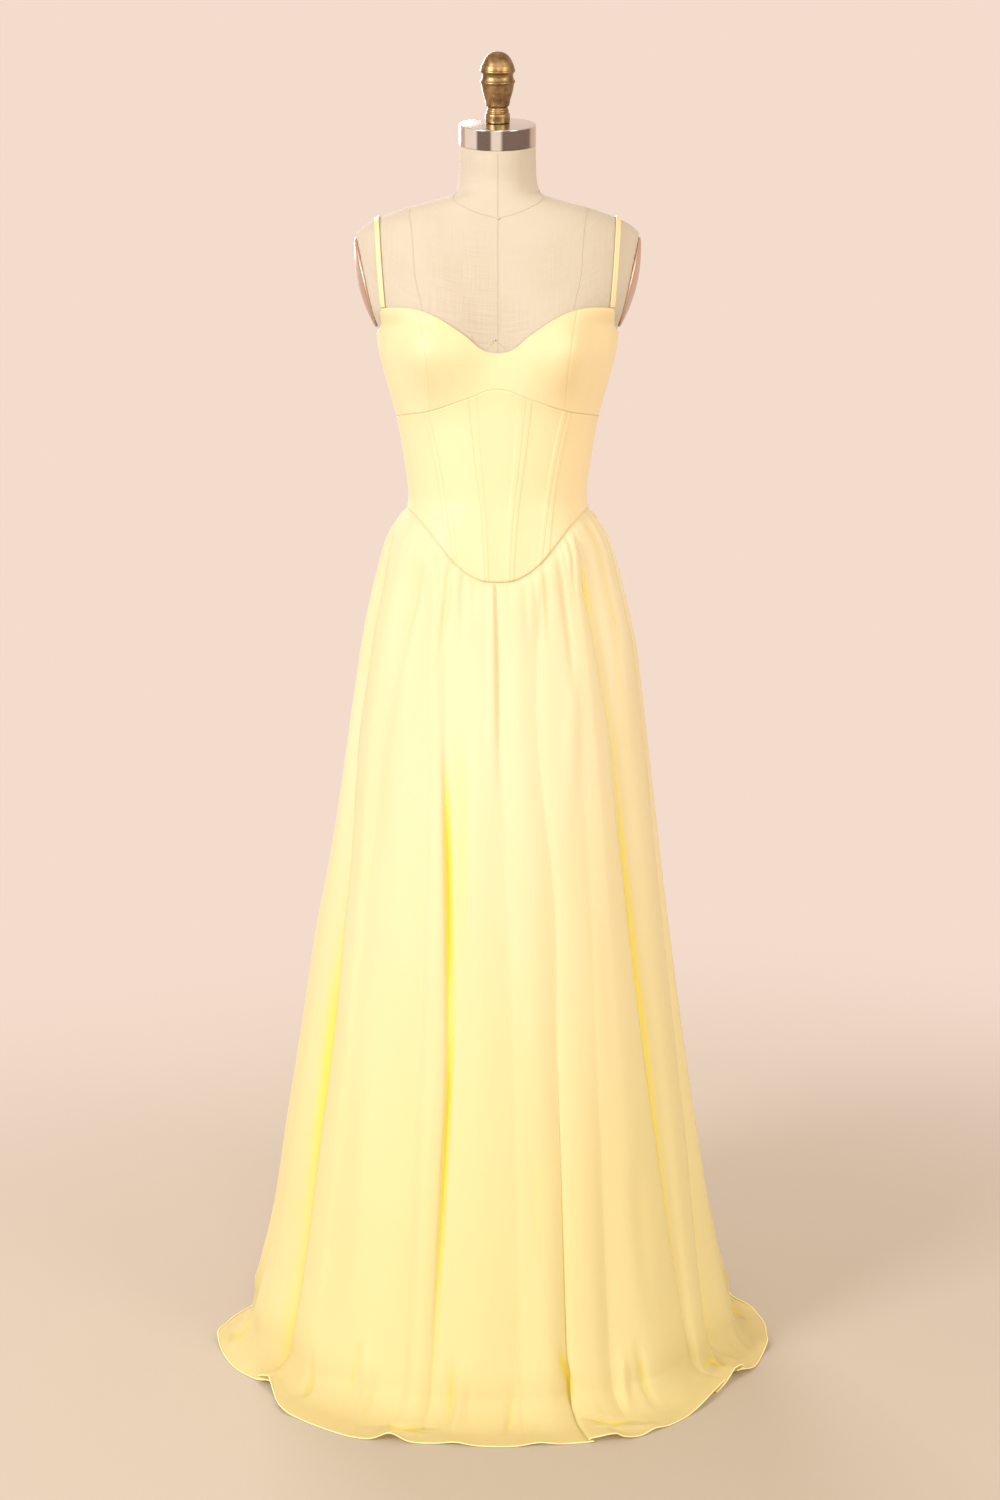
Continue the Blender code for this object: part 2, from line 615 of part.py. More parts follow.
def fold_shape(fold, share, z, below):
    """Depth below the fold's top and push to the side, in metres, part of the way between valleys."""
    before = share > 0.5
    valley = VALLEYS[fold + 1] if before else VALLEYS[fold]
    away = 2 - 2 * share if before else 2 * share
    lean = valley.lean if before else -valley.lean
    deep = valley_depth(valley, z, below)
    power = SOFT_VALLEY + (STEEP_GAIN if lean > 0 else SLACK_LOSS) * lean
    push = max(0.0, lean) * deep * math.sin(math.pi * away**PUSH_NEAR) * ease((z - FLOOR_TURN) / PUSH_ENDS)
    rounded = (math.hypot(away, VALLEY_ROUND) - VALLEY_ROUND) / (math.hypot(1, VALLEY_ROUND) - VALLEY_ROUND)
    return deep * (1 - rounded) ** power, push if before else -push


def hang_radius(angle, z):
    """Reach of the skirt over the tops of its folds."""
    turn = math.radians(angle)
    half = read(HANGS, "z", "right" if math.sin(turn) > 0 else "left", z)
    deep = read(HANGS, "z", "front" if math.cos(turn) > 0 else "back", z)
    return ((math.sin(turn) / half) ** 2 + (math.cos(turn) / deep) ** 2) ** -0.5


def skirt_point(fold, share, fall):
    """A point of the hanging cloth: fold is the valley's place in the table, share the way to the
    next one, fall the share of the drop from the waist seam to the floor turn."""
    here, after = VALLEYS[fold], VALLEYS[fold + 1]
    top = 1.1
    for _ in range(6):
        angle = mix(valley_angle(here, top), valley_angle(after, top), share)
        top = edge_at(WAIST_EDGE, angle) - SEAM_GAP * 2
    z = mix(top, FLOOR_TURN, fall)
    below = top - z
    angle = mix(valley_angle(here, z), valley_angle(after, z), share)
    depth, push = fold_shape(fold, share, z, below)
    radius = hang_radius(angle, z) - depth
    turn = math.radians(angle) + push / radius
    if z > SEATED_ABOVE:
        seat = off_form(angle, z, LIE_GAP + SKIRT_WALL)
        freed = ease(below / SEAT_LONG)
        held = math.hypot(seat.x, seat.y)
        radius = mix(held, max(radius, held), freed)
        turn += (1 - freed) * ((math.atan2(seat.x, -seat.y) - turn + math.pi) % math.tau - math.pi)
    gather = GATHER_DEEP * (1 - math.cos(math.tau * share)) / 2
    radius += gather * ease(below / GATHER_START) * (1 - ease((below - GATHER_START) / GATHER_LONG))
    return Vector((radius * math.sin(turn), -radius * math.cos(turn), z))


def skirt_column(fold, share):
    """Outer points from the waist seam down to the floor and out to the hem."""
    points = [skirt_point(fold, share, fall) for fall in FALL_SHARES]
    foot = points[-1]
    start = math.hypot(foot.x, foot.y)
    way = Vector((foot.x, foot.y, 0)).normalized()
    hem = read(HEM, "angle", "out", math.degrees(math.atan2(foot.x, -foot.y)))
    lift = RIDGE_LIFT * math.sin(math.pi * share)
    for out in POOL_SHARES:
        bend = min(1.0, out / TURN_PART)
        low = SKIRT_WALL + lift * (1 - out) ** 2
        height = mix(FLOOR_TURN, low, math.sqrt(1 - (1 - bend) ** 2))
        points.append(way * mix(start, hem, out) + Vector((0, 0, height)))
    return points


def offset_inwards(sheet, thick):
    """The same sheet moved in by its thickness, kept above the floor and level at the waist seam."""
    rows = len(sheet)
    columns = len(sheet[0])
    flat_rows = sum(1 for out in POOL_SHARES if out > TURN_PART)
    moved = []
    for i in range(rows):
        line = []
        for j in range(columns):
            across = sheet[i][min(j + 1, columns - 1)] - sheet[i][max(j - 1, 0)]
            down = sheet[min(i + 1, rows - 1)][j] - sheet[max(i - 1, 0)][j]
            normal = across.cross(down).normalized()
            outward = Vector((sheet[i][j].x, sheet[i][j].y, 0)).normalized()
            if normal.dot(outward + Vector((0, 0, 0.8))) < 0:
                normal = -normal
            if i == 0:
                normal = Vector((normal.x, normal.y, 0)).normalized()
            if i >= rows - flat_rows:
                normal = Vector((0, 0, 1))
            point = sheet[i][j] - normal * thick
            line.append(Vector((point.x, point.y, max(0.0, point.z))))
        moved.append(line)
    return moved


def make_skirt_panel(name, first, last, parent):
    columns = []
    for fold in range(first, last):
        steps = VALLEYS[fold].steps
        for k in range(steps):
            columns.append(skirt_column(fold, k / steps))
    columns.append(skirt_column(last - 1, 1.0))
    for column, neighbour in ((columns[0], columns[1]), (columns[-1], columns[-2])):
        for i, point in enumerate(column):
            column[i] = point + (neighbour[i] - point).normalized() * SEAM_GAP * 0.8
    outer = [[column[i] for column in columns] for i in range(len(columns[0]))]
    return wall(name, outer, offset_inwards(outer, SKIRT_WALL), "chiffon", parent)


def main():
    for old in list(bpy.data.objects):
        bpy.data.objects.remove(old)
    form = bpy.data.objects.new("dress_form", None)
    dress = bpy.data.objects.new("dress", None)
    for empty in (form, dress):
        bpy.context.scene.collection.objects.link(empty)
    make_torso(form)
    make_neck_cap(form)
    make_finial(form)
    make_stand(form)
    make_arm_plate(-1, form)
    make_arm_plate(1, form)
    make_straps(dress)
    make_bodice(dress)
    make_skirt_panel("skirt_front", SIDE_LEFT, SIDE_RIGHT, dress)
    make_skirt_panel("skirt_back_right", SIDE_RIGHT, CENTRE_BACK, dress)
    make_skirt_panel("skirt_back_left", CENTRE_BACK, ROUND, dress)


main()
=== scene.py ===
"""Looks of the chiffon maxi dress on its dress form: fine cloth shells, sewing and finishes.

Metres, +Z up, the front faces -Y. Angles go round the upright axis in degrees: 0 at centre front,
+90 at +X, 180 at centre back. Every cloth piece is worked out from the same sizes as its solid.
"""

import math
from collections import namedtuple

import bpy
import numpy as np
from mathutils import Matrix, Vector


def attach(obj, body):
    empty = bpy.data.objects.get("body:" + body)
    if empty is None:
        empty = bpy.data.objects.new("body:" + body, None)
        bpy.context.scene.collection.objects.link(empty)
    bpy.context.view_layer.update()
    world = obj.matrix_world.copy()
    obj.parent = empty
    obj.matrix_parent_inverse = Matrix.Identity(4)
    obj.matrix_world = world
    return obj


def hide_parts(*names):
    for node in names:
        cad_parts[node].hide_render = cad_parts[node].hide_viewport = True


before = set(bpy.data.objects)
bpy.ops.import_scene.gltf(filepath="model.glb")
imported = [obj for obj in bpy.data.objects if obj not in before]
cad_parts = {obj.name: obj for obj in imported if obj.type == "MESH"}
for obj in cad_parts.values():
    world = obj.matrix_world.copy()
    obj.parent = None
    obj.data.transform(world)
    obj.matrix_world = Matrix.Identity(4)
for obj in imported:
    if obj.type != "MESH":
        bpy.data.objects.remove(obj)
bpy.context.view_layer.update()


def table(columns, *rows):
    """Rows of numbers under named columns."""
    row = namedtuple("Row", columns)
    return [row(*values) for values in rows]


# Cloth and the gaps between pieces
BODICE_WALL = 0.0020
CHANNEL_RISE = 0.0007
CHANNEL_WIDTH = 0.0065
SKIRT_WALL = 0.0015
STRAP_WALL = 0.0016
STRAP_WIDTH = 0.0060
LIE_GAP = 0.0010
SEAM_GAP = 0.0003
SKIRT_SHELL = 0.0008
BODICE_SHELL = 0.0014
SEAM_TRIM = 0.00005
SEAM_DIP = 0.00040
SEAM_DIP_WIDE = 0.0012
BODICE_RADIUS = 0.12
NEAR_SEAM = (0, 0.0003, 0.0007, 0.0012, 0.0020, 0.0035, 0.0052, 0.0060, 0.0066, 0.0072, 0.0080, 0.0095)

# Dress form
BUST_ANGLE = 37.0
BUST_SPREAD = 20.0
BUST_HEIGHT = 1.332
BUST_TALL = 0.046
BUST_DEPTH = 0.027
ARM_CUT_LOW = 1.3635
ARM_CUT_X = 0.1547
ARM_CUT_SLOPE = 0.225
ARM_PLATE_HEIGHT = 1.421
ARM_PLATE_TALL = 0.0580
ARM_PLATE_WIDE = 0.0420
ARM_PLATE_RIM = 0.0030
ARM_PLATE_CROWN = 0.0120
NECK_TILT = math.radians(16.0)
NECK_TILT_FROM = 1.530
NECK_TOP = 1.5895
NECK_TOP_Y = -0.0225
CAP_RADIUS = 0.0485
CAP_BAND = 0.0250
CAP_CROWN = 0.0020
FORM_BOTTOM = 0.880
SHOULDER = 1.470
FORM_SEAM_LOW = 0.90
FORM_SEAM_OVER = 1.512
FORM_SEAM_TOP = 1.588
FORM_SEAM_RADIUS = 0.0006
PIN_RADIUS = 0.0011
TACK_RADIUS = 0.00032

SECTIONS = table(
    "z half_width front back power",
    (0.88, 0.15, 0.098, 0.112, 2.1),
    (0.9, 0.156, 0.105, 0.12, 2.1),
    (0.95, 0.16, 0.108, 0.123, 2.1),
    (1, 0.155, 0.1035, 0.117, 2.1),
    (1.036, 0.1485, 0.099, 0.109, 2.1),
    (1.076, 0.1375, 0.0945, 0.1, 2.1),
    (1.115, 0.123, 0.0905, 0.093, 2.1),
    (1.145, 0.114, 0.0885, 0.0915, 2.1),
    (1.194, 0.1191, 0.0915, 0.095, 2.1),
    (1.251, 0.129, 0.096, 0.101, 2.1),
    (1.304, 0.1434, 0.101, 0.105, 2.2),
    (1.335, 0.151, 0.102, 0.107, 2.2),
    (1.3635, 0.1547, 0.102, 0.108, 2.3),
    (1.385, 0.1725, 0.1005, 0.1085, 2.4),
    (1.42, 0.185, 0.095, 0.107, 2.4),
    (1.455, 0.1875, 0.0885, 0.1, 2.3),
    (1.478, 0.184, 0.082, 0.089, 2.2),
    (1.492, 0.1705, 0.078, 0.081, 2.1),
    (1.502, 0.149, 0.0755, 0.074, 2),
    (1.512, 0.12, 0.073, 0.067, 2),
    (1.521, 0.084, 0.0705, 0.059, 2),
    (1.53, 0.056, 0.068, 0.051, 2),
    (1.54, 0.0512, 0.0665, 0.045, 2),
    (1.556, 0.049, 0.068, 0.039, 2),
    (1.574, 0.0484, 0.0705, 0.0325, 2),
    (1.5895, 0.0482, 0.0715, 0.0275, 2),
)

# Seams of the front: distance from centre front at each height
PRINCESS_SEAM = table("z x", (1.262, 0.084), (1.29, 0.0855), (1.343, 0.092), (1.39, 0.1))
INNER_SEAM = table("z x", (1.04, 0.015), (1.12, 0.0195), (1.2, 0.0287), (1.29, 0.0375))
OUTER_SEAM = table("z x", (1.06, 0.056), (1.12, 0.0622), (1.19, 0.0725), (1.27, 0.09))
FORM_SEAM = table(
    "z x",
    (0.9, 0.075), (1.14, 0.062), (1.3, 0.083), (1.385, 0.0945),
    (1.425, 0.1035), (1.47, 0.107), (1.516, 0.113),
)

# Turned finial: radius and height above the cap
FINIAL = (
    (0, 0), (0.015, 0), (0.0155, 0.001), (0.0156, 0.003), (0.0155, 0.0085), (0.0151, 0.0104),
    (0.0141, 0.0116), (0.0136, 0.0124), (0.014, 0.0136), (0.0138, 0.015), (0.013, 0.0162),
    (0.0127, 0.0176), (0.0129, 0.0188), (0.0139, 0.0197), (0.0147, 0.0206), (0.0154, 0.0232),
    (0.016, 0.027), (0.017, 0.0302), (0.018, 0.0334), (0.0195, 0.039), (0.0204, 0.0445), (0.0208, 0.0468),
    (0.0217, 0.048), (0.0221, 0.0491), (0.0217, 0.0503), (0.0208, 0.0514), (0.0202, 0.0528),
    (0.0196, 0.0545), (0.0194, 0.0562), (0.0197, 0.058), (0.0204, 0.0596), (0.0216, 0.0608),
    (0.0221, 0.062), (0.0219, 0.0632), (0.0212, 0.0644), (0.0209, 0.0658), (0.0203, 0.0684),
    (0.0193, 0.0706), (0.0178, 0.0738), (0.0156, 0.0774), (0.0124, 0.0808), (0.0084, 0.0832),
    (0.0042, 0.0844), (0, 0.0847),
)
PINS = ((1.3, 1.4937), (-1.7, 1.3451))
TACKS = ((-7.2, 1.333), (5.2, 1.3345))

# Edges that run round the body: height at each angle
TOP_EDGE = table(
    "angle z",
    (0, 1.3286), (6, 1.33), (12, 1.335), (19, 1.348), (27, 1.3612),
    (35, 1.3725), (44, 1.381), (52, 1.3848), (60, 1.3858), (64, 1.3855),
    (68, 1.376), (73, 1.3665), (80, 1.359), (90, 1.355), (120, 1.352), (180, 1.346),
)
UNDERBUST_EDGE = table(
    "angle z",
    (0, 1.2852), (8, 1.283), (16, 1.2768), (27, 1.2695), (41, 1.2606),
    (56, 1.2548), (90, 1.2508), (180, 1.2508),
)
WAIST_EDGE = table(
    "angle z",
    (0, 1.0417), (10, 1.0434), (21, 1.052), (30, 1.065), (44, 1.0915),
    (56, 1.1125), (70, 1.1265), (90, 1.1335), (180, 1.1335),
)
NECK_SEAM = table(
    "angle z",
    (0, 1.4945), (21, 1.5025), (40, 1.5145), (60, 1.527), (90, 1.535), (180, 1.54),
)
SIDE_ANGLE = 90.0

# Straps, in upright slices through a point inside the shoulder: distance from the middle at each
# turn, from level at the front over the top to level at the back
STRAP_MIDDLE = 1.400
STRAP_STATIONS = 150
STRAP_SINK = 0.00025
STRAP_CLOTH = 0.00045
STRAP_FARTHEST = 0.25
STITCH_INSET = 0.0011
STITCH_LONG = 0.0018
STITCH_PITCH = 0.0026
STITCH_RADIUS = 0.00016
STRAP_LINE = table(
    "turn x",
    (-15, 0.1435), (40, 0.149), (90, 0.1535), (150, 0.133), (215, 0.108),
)

# Skirt at each height: reach to the left, right, front and back over the tops of the folds
HANGS = table(
    "z left right front back",
    (0.023, 0.354, 0.341, 0.309, 0.325),
    (0.068, 0.339, 0.322, 0.298, 0.315),
    (0.157, 0.317, 0.301, 0.279, 0.297),
    (0.288, 0.296, 0.277, 0.253, 0.273),
    (0.418, 0.274, 0.255, 0.227, 0.249),
    (0.545, 0.254, 0.236, 0.201, 0.226),
    (0.671, 0.229, 0.219, 0.176, 0.202),
    (0.794, 0.208, 0.204, 0.152, 0.18),
    (0.876, 0.195, 0.194, 0.136, 0.165),
    (0.956, 0.182, 0.183, 0.12, 0.148),
    (0.996, 0.174, 0.174, 0.112, 0.137),
    (1.036, 0.164, 0.164, 0.104, 0.125),
    (1.076, 0.151, 0.15, 0.1, 0.113),
    (1.115, 0.132, 0.131, 0.097, 0.102),
    (1.134, 0.121, 0.121, 0.094, 0.097),
)

# Hem on the floor: reach from the axis at each angle
HEM = table(
    "angle out",
    (-180, 0.378), (-160, 0.388), (-140, 0.376), (-125, 0.378), (-112, 0.352),
    (-98, 0.346), (-88, 0.374), (-79, 0.391), (-67, 0.386), (-55, 0.368),
    (-42, 0.39), (-30, 0.39), (-20, 0.38), (-10, 0.368), (2, 0.369),
    (14, 0.372), (27, 0.386), (41, 0.377), (55, 0.363), (66, 0.377),
    (84, 0.374), (92, 0.362), (99, 0.341), (112, 0.346), (124, 0.372),
    (136, 0.386), (152, 0.37), (180, 0.378),
)

# Valleys between the skirt's folds, from the left side seam round the front, right and back.
# Angles are at the waist seam, then at the five heights below it; depths are at the hip, knee and
# floor. lean is how far a fold hangs over the valley, as a share of its depth: above zero the fold
# before it, below zero the fold after it.
VALLEYS = table(
    "name seam waist hip thigh knee floor deep_hip deep_knee deep_floor lean",
    ("side seam left", -90, -90, -90, -90, -89, -88, 0.006, 0.012, 0.016, 0),
    ("left fold", -79, -78, -73, -62, -57, -53.5, 0.013, 0.024, 0.03, -0.55),
    ("left trough", -49, -53, -58, -54, -50, -46, 0.006, 0.002, 0.001, 0),
    ("soft left", -40, -39, -34, -30, -27, -23, 0.001, 0.006, 0.009, 0),
    ("deepest", -30, -33, -27, -20.5, -16, -16, 0.002, 0.007, 0.007, 0),
    ("centre pleat", -1, -0.5, 2, 3.5, 5, 5.7, 0.004, 0.003, 0.006, 0),
    ("centre right", 30, 28, 21, 23.5, 20.5, 18.3, 0.003, 0.006, 0.013, -0.3),
    ("soft right", 48, 47, 42, 38, 34, 28, 0.001, 0.003, 0.006, 0),
    ("right fold", 54.5, 55.5, 56, 53.5, 52, 51, 0.018, 0.024, 0.026, 0.55),
    ("narrow right", 84, 84, 83.5, 81.5, 75, 58, 0.003, 0.01, 0.02, 0.35),
    ("side seam right", 90, 90, 90, 90, 89, 88, 0.004, 0.01, 0.014, 0),
    ("back right 1", 107, 107, 109, 110, 110, 112, 0.007, 0.018, 0.024, -0.3),
    ("back right 2", 126, 126, 128, 129, 130, 131, 0.005, 0.012, 0.016, 0.2),
    ("back right 3", 145, 145, 147, 149, 150, 153, 0.008, 0.02, 0.027, -0.4),
    ("back right 4", 163, 163, 164, 165, 166, 167, 0.004, 0.01, 0.013, 0.2),
    ("centre back seam", 180, 180, 180, 180, 180, 180, 0.008, 0.018, 0.022, 0),
    ("back left 1", 197, 197, 198, 199, 200, 202, 0.005, 0.013, 0.018, -0.25),
    ("back left 2", 216, 216, 217, 218, 219, 221, 0.009, 0.022, 0.028, 0.4),
    ("back left 3", 234, 234, 235, 236, 237, 240, 0.005, 0.012, 0.015, -0.2),
    ("back left 4", 252, 252, 253, 254, 255, 257, 0.007, 0.017, 0.022, 0.3),
    ("side seam left again", 270, 270, 270, 270, 271, 272, 0.006, 0.012, 0.016, 0),
)
SIDE_LEFT, SIDE_RIGHT, CENTRE_BACK, ROUND = 0, 10, 15, 20
SEAM_AT, WAIST_AT, HIP_AT, THIGH_AT, KNEE_AT = 1.10, 1.03, 0.85, 0.65, 0.45
VALLEY_START = 0.09
SOFT_VALLEY = 1.7
STEEP_GAIN = 4.0
SLACK_LOSS = 0.6
VALLEY_ROUND = 0.12
PUSH_NEAR = 0.6
HEM_ROLL = 0.0008
TUCKED_UP = 0.0030
TUCKED_OUT = 0.0013
TUCKED_LONG = 0.0040
PRESS_FLOOR = 0.0012
PUFF = 0.0048
PUFF_START = 0.012
PUFF_LONG = 0.10
SEATED_ABOVE = 0.93
SEAT_LONG = 0.035
FLOOR_TURN = 0.045
TURN_PART = 0.62
RIDGE_LIFT = 0.0080
FOLD_RADIUS = 0.30
FREE_ROOM = 0.05

# A fold that hangs over its valley ends in a lip: how far it reaches past the valley for its lean
# and depth, how tightly it rolls under, and how high it lies on the floor
LIP_REACH = 1.5
LIP_ROLL = 0.010
LIP_DEEP = 0.018
LIP_FULL = 0.008
LIP_BELOW = 0.97
LIP_GROWS = 0.16
LIP_LIFT = 0.0065
LIP_STEEP = 0.65

# Small creases, from an angle and height to another, bowed between them in degrees. Below the
# floor turn a height goes on as distance out along the floor. A height of 1.2 starts at the waist
# seam. Above zero deep is a trough, below zero a ridge.
AT_SEAM = 1.2
SEAM_FADE = 0.006
START_FADE = 0.35
END_FADE = 0.6
CREASES = table(
    "angle z to_angle to_z bow wide deep",
    (-85, 1.2, -84, 1.02, 0, 0.0034, 0.0021),
    (-68, 1.2, -70, 1.03, 0.5, 0.0037, 0.0029),
    (-62, 1.2, -63, 1.06, 0, 0.0027, 0.0017),
    (-55, 1.2, -59, 1.05, 0.6, 0.0027, 0.0015),
    (-49, 1.2, -57, 0.9, -1, 0.005, 0.0016),
    (-46, 1.11, -31, 0.78, 1.2, 0.0095, -0.0026),
    (-44.5, 1.2, -46, 0.76, -1, 0.011, 0.003),
    (-41, 1.2, -40, 1.02, 0.4, 0.0034, 0.0025),
    (-32, 1.2, -33, 0.9, -1, 0.0041, 0.0034),
    (-29, 1.07, -25, 0.98, 0, 0.0045, -0.0016),
    (-23.5, 1.2, -22, 0.96, 0, 0.0031, 0.0029),
    (-16, 1.2, -15, 0.99, 0, 0.0027, 0.0013),
    (-29, 0.9, -15.5, 0.3, 3, 0.0036, 0.0062),
    (-16, 0.56, -16, -0.05, 0, 0.0034, 0.0052),
    (-23, 1, -14.5, 0.36, 4, 0.019, 0.0034),
    (-8, 1.2, -7, 0.985, 0, 0.0031, 0.0017),
    (-4.2, 1.2, -2.6, 0.72, 0.3, 0.006, -0.0026),
    (-1, 1.2, 1.3, 0.76, 0.3, 0.0026, 0.003),
    (7, 1.2, 8, 1, 0, 0.0031, 0.0013),
    (18, 1.2, 18.5, 0.96, 0, 0.0031, 0.0023),
    (24, 1.2, 25, 1, 0, 0.0027, 0.0015),
    (32, 1.2, 31, 0.95, 0.6, 0.0037, 0.0032),
    (41, 1.2, 40.5, 0.88, 2, 0.0044, 0.004),
    (45, 1.2, 46, 1.03, 0, 0.0024, 0.0019),
    (44, 0.96, 29, 0.7, 0, 0.012, -0.0026),
    (39, 0.74, 30, 0.18, 0, 0.016, -0.0022),
    (50, 1.2, 49, 1.02, 0, 0.0027, 0.0021),
    (56, 1.2, 56, 0.96, 0.5, 0.004, 0.0014),
    (60.5, 0.95, 53, 0.03, 0, 0.0048, 0.006),
    (60, 1.2, 58, 1.07, 0, 0.002, 0.0017),
    (65, 1.2, 59, 1.06, 0, 0.0032, 0.0016),
    (68, 1.2, 66, 1.08, 0, 0.002, 0.0017),
    (69, 1.2, 61, 0.79, 4, 0.005, 0.0052),
    (78, 1.2, 78, 1, 0, 0.0034, 0.0025),
    (85, 1.2, 85, 1.04, 0, 0.0027, 0.0019),
    (96, 1.2, 97, 1.01, 0, 0.0034, 0.0027),
    (106, 1.2, 107, 0.93, 0.5, 0.0041, 0.004),
    (114, 1.2, 113, 1.02, 0, 0.0031, 0.0019),
    (126, 1.2, 127, 0.94, 0, 0.0041, 0.0036),
    (134, 1.2, 133, 1.03, 0, 0.0027, 0.0019),
    (145, 1.2, 146, 0.9, -0.6, 0.0044, 0.0044),
    (152, 1.2, 153, 1.04, 0, 0.0027, 0.0015),
    (163, 1.2, 163, 0.96, 0, 0.0037, 0.0032),
    (171, 1.2, 171, 1.03, 0, 0.0027, 0.0021),
    (189, 1.2, 188, 1.01, 0, 0.0031, 0.0025),
    (197, 1.2, 198, 0.95, 0, 0.0041, 0.0036),
    (206, 1.2, 207, 1.04, 0, 0.0027, 0.0017),
    (216, 1.2, 217, 0.9, 0.8, 0.0044, 0.0046),
    (224, 1.2, 223, 1.02, 0, 0.0031, 0.0021),
    (234, 1.2, 234, 0.96, 0, 0.0037, 0.0032),
    (243, 1.2, 244, 1.04, 0, 0.0027, 0.0019),
    (252, 1.2, 253, 0.93, -0.5, 0.0041, 0.0038),
    (262, 1.2, 261, 1.02, 0, 0.0031, 0.0023),
    (-66, 0.62, -60, 0.12, 0, 0.014, 0.003),
    (-43, 0.48, -38, 0.06, 0, 0.018, -0.003),
    (12, 0.42, 11, 0.06, 0, 0.016, 0.0028),
    (44, 0.33, 41, 0.05, 0, 0.014, 0.003),
    (118, 0.56, 120, 0.08, 0, 0.018, -0.003),
    (139, 0.48, 141, 0.06, 0, 0.016, 0.003),
    (172, 0.6, 171, 0.1, 0, 0.016, 0.0028),
    (190, 0.5, 191, 0.07, 0, 0.015, -0.0028),
    (226, 0.56, 229, 0.08, 0, 0.018, 0.0032),
    (245, 0.42, 247, 0.06, 0, 0.015, -0.0028),
    (-77.5, 0.006, -82.5, 0.055, 0, 0.006, 0.0085),
    (-46, 0.012, -52, 0.06, 2, 0.0043, 0.0045),
    (-35.2, 0.095, -36.2, -0.004, 0, 0.005, 0.0052),
    (-33, 0.07, -30.5, -0.03, 1, 0.0065, -0.0063),
    (-14.6, 0.016, -27, -0.012, 0, 0.015, 0.0075),
    (-15.5, 0, -24, -0.028, 0, 0.012, -0.0045),
    (-10.8, 0.085, -12, -0.01, 0, 0.0048, 0.0048),
    (-9.5, 0.002, -8.2, 0.075, 0, 0.005, -0.006),
    (2, 0, 4, 0.055, 0, 0.005, 0.0037),
    (15.8, 0.09, 18.8, 0.02, 0, 0.0038, 0.0055),
    (18.2, 0.024, 34, -0.016, 0, 0.012, 0.0075),
    (20, 0.004, 34, -0.03, 0, 0.011, -0.0045),
    (36.4, 0.08, 36.6, -0.004, 0, 0.005, 0.005),
    (32.5, 0.07, 30, 0.01, 0, 0.006, -0.005),
    (57.5, 0.046, 63.5, 0.004, 0, 0.0046, 0.009),
    (60.5, 0.05, 67.5, 0.002, 0, 0.006, -0.005),
    (96, 0.058, 87, 0.01, 0, 0.008, 0.007),
    (74, 0.06, 70, -0.01, 0, 0.0058, -0.005),
    (103, 0.06, 106, -0.015, 0, 0.0058, -0.0055),
    (138, 0.055, 134, 0, 0, 0.0058, 0.005),
    (158, 0.065, 160, -0.02, 0, 0.0061, -0.0057),
    (192, 0.055, 189, 0, 0, 0.0054, 0.005),
    (209, 0.06, 213, -0.015, 0, 0.0061, -0.0055),
    (228, 0.05, 231, 0.005, 0, 0.0054, 0.005),
    (247, 0.06, 244, -0.02, 0, 0.0058, -0.0055),
)

# Places where the hem lifts off the floor and draws back
CURLS = table(
    "angle wide lift back",
    (-80, 4, 0.007, 0), (-55, 2.4, 0.006, 0.004), (-46, 3, 0.004, -0.003),
    (-20.5, 2.6, 0.0115, 0), (-8, 2.6, 0.0035, 0), (8, 3, 0.003, 0.002),
    (22.5, 3, 0.0065, -0.002), (31, 2.2, 0.003, 0.002), (60, 3.6, 0.008, 0.003),
    (76, 3, 0.006, -0.003), (96, 4.5, 0.005, 0), (124, 3, 0.006, -0.003),
    (142, 3.4, 0.0075, 0.005), (168, 2.6, 0.0045, -0.002), (187, 3.2, 0.007, 0.004),
    (212, 3, 0.0055, -0.003), (234, 3.6, 0.008, 0.005), (248, 2.8, 0.0055, -0.002),
)

# Painted shade in the folds: depths at which the deeper yellow that stands in for shade and for light
# glowing through the cloth is full, in the valleys and in the small creases, and the share by which a ridge
# is painted paler
FOLD_SHADE_FULL = 0.022
CREASE_SHADE_FULL = 0.006
RIDGE_PAINTED_LIGHT = 0.3

# Fineness of the dress form and the cloth shells, and how far rows and columns draw together
NECK_ROWS, BODY_ROWS, FORM_COLUMNS = 60, 130, 200
FOLD_STEPS = 13
FOLD_STEPS_PER_DEGREE = 1.1
FALL_ROWS = 96
POOL_ROWS = 30
FALL_SPREAD = 1.25
FOLD_SPREAD = 0.85


def mix(a, b, share):
    return a + (b - a) * share


def ease(share):
    share = np.clip(share, 0.0, 1.0)
    return share * share * (3 - 2 * share)


def curve(xs, ys, at):
    """Height at a place along a smooth curve through points, which never overshoots them."""
    xs = np.asarray(xs, float)
    ys = np.asarray(ys, float)
    steps = np.diff(ys) / np.diff(xs)
    before, after = steps[:-1], steps[1:]
    product = before * after
    total = np.where(product > 0, before + after, 1.0)
    slopes = np.concatenate((steps[:1], np.where(product > 0, 2 * product / total, 0.0), steps[-1:]))
    at = np.clip(at, xs[0], xs[-1])
    i = np.clip(np.searchsorted(xs, at, side="right") - 1, 0, len(xs) - 2)
    wide = xs[i + 1] - xs[i]
    t = (at - xs[i]) / wide
    start = (2 * t**3 - 3 * t**2 + 1) * ys[i] + (t**3 - 2 * t**2 + t) * wide * slopes[i]
    end = (3 * t**2 - 2 * t**3) * ys[i + 1] + (t**3 - t**2) * wide * slopes[i + 1]
    return start + end


def read(rows, value, at):
    """A column's value where a table's first column is at, smooth between its rows."""
    return curve([row[0] for row in rows], [getattr(row, value) for row in rows], at)


def halve(low, high, before, times):
    """The last limits of a search by halves for the place that everything before lies below."""
    for _ in range(times):
        middle = (low + high) / 2
        short = before(middle)
        low, high = np.where(short, middle, low), np.where(short, high, middle)
    return low, high


def wrap(angle):
    """The same angle between -180 and 180."""
    return (angle + 180) % 360 - 180


def unit(vectors):
    return vectors / np.maximum(np.linalg.norm(vectors, axis=-1, keepdims=True), 1e-12)


# The dress form's surface

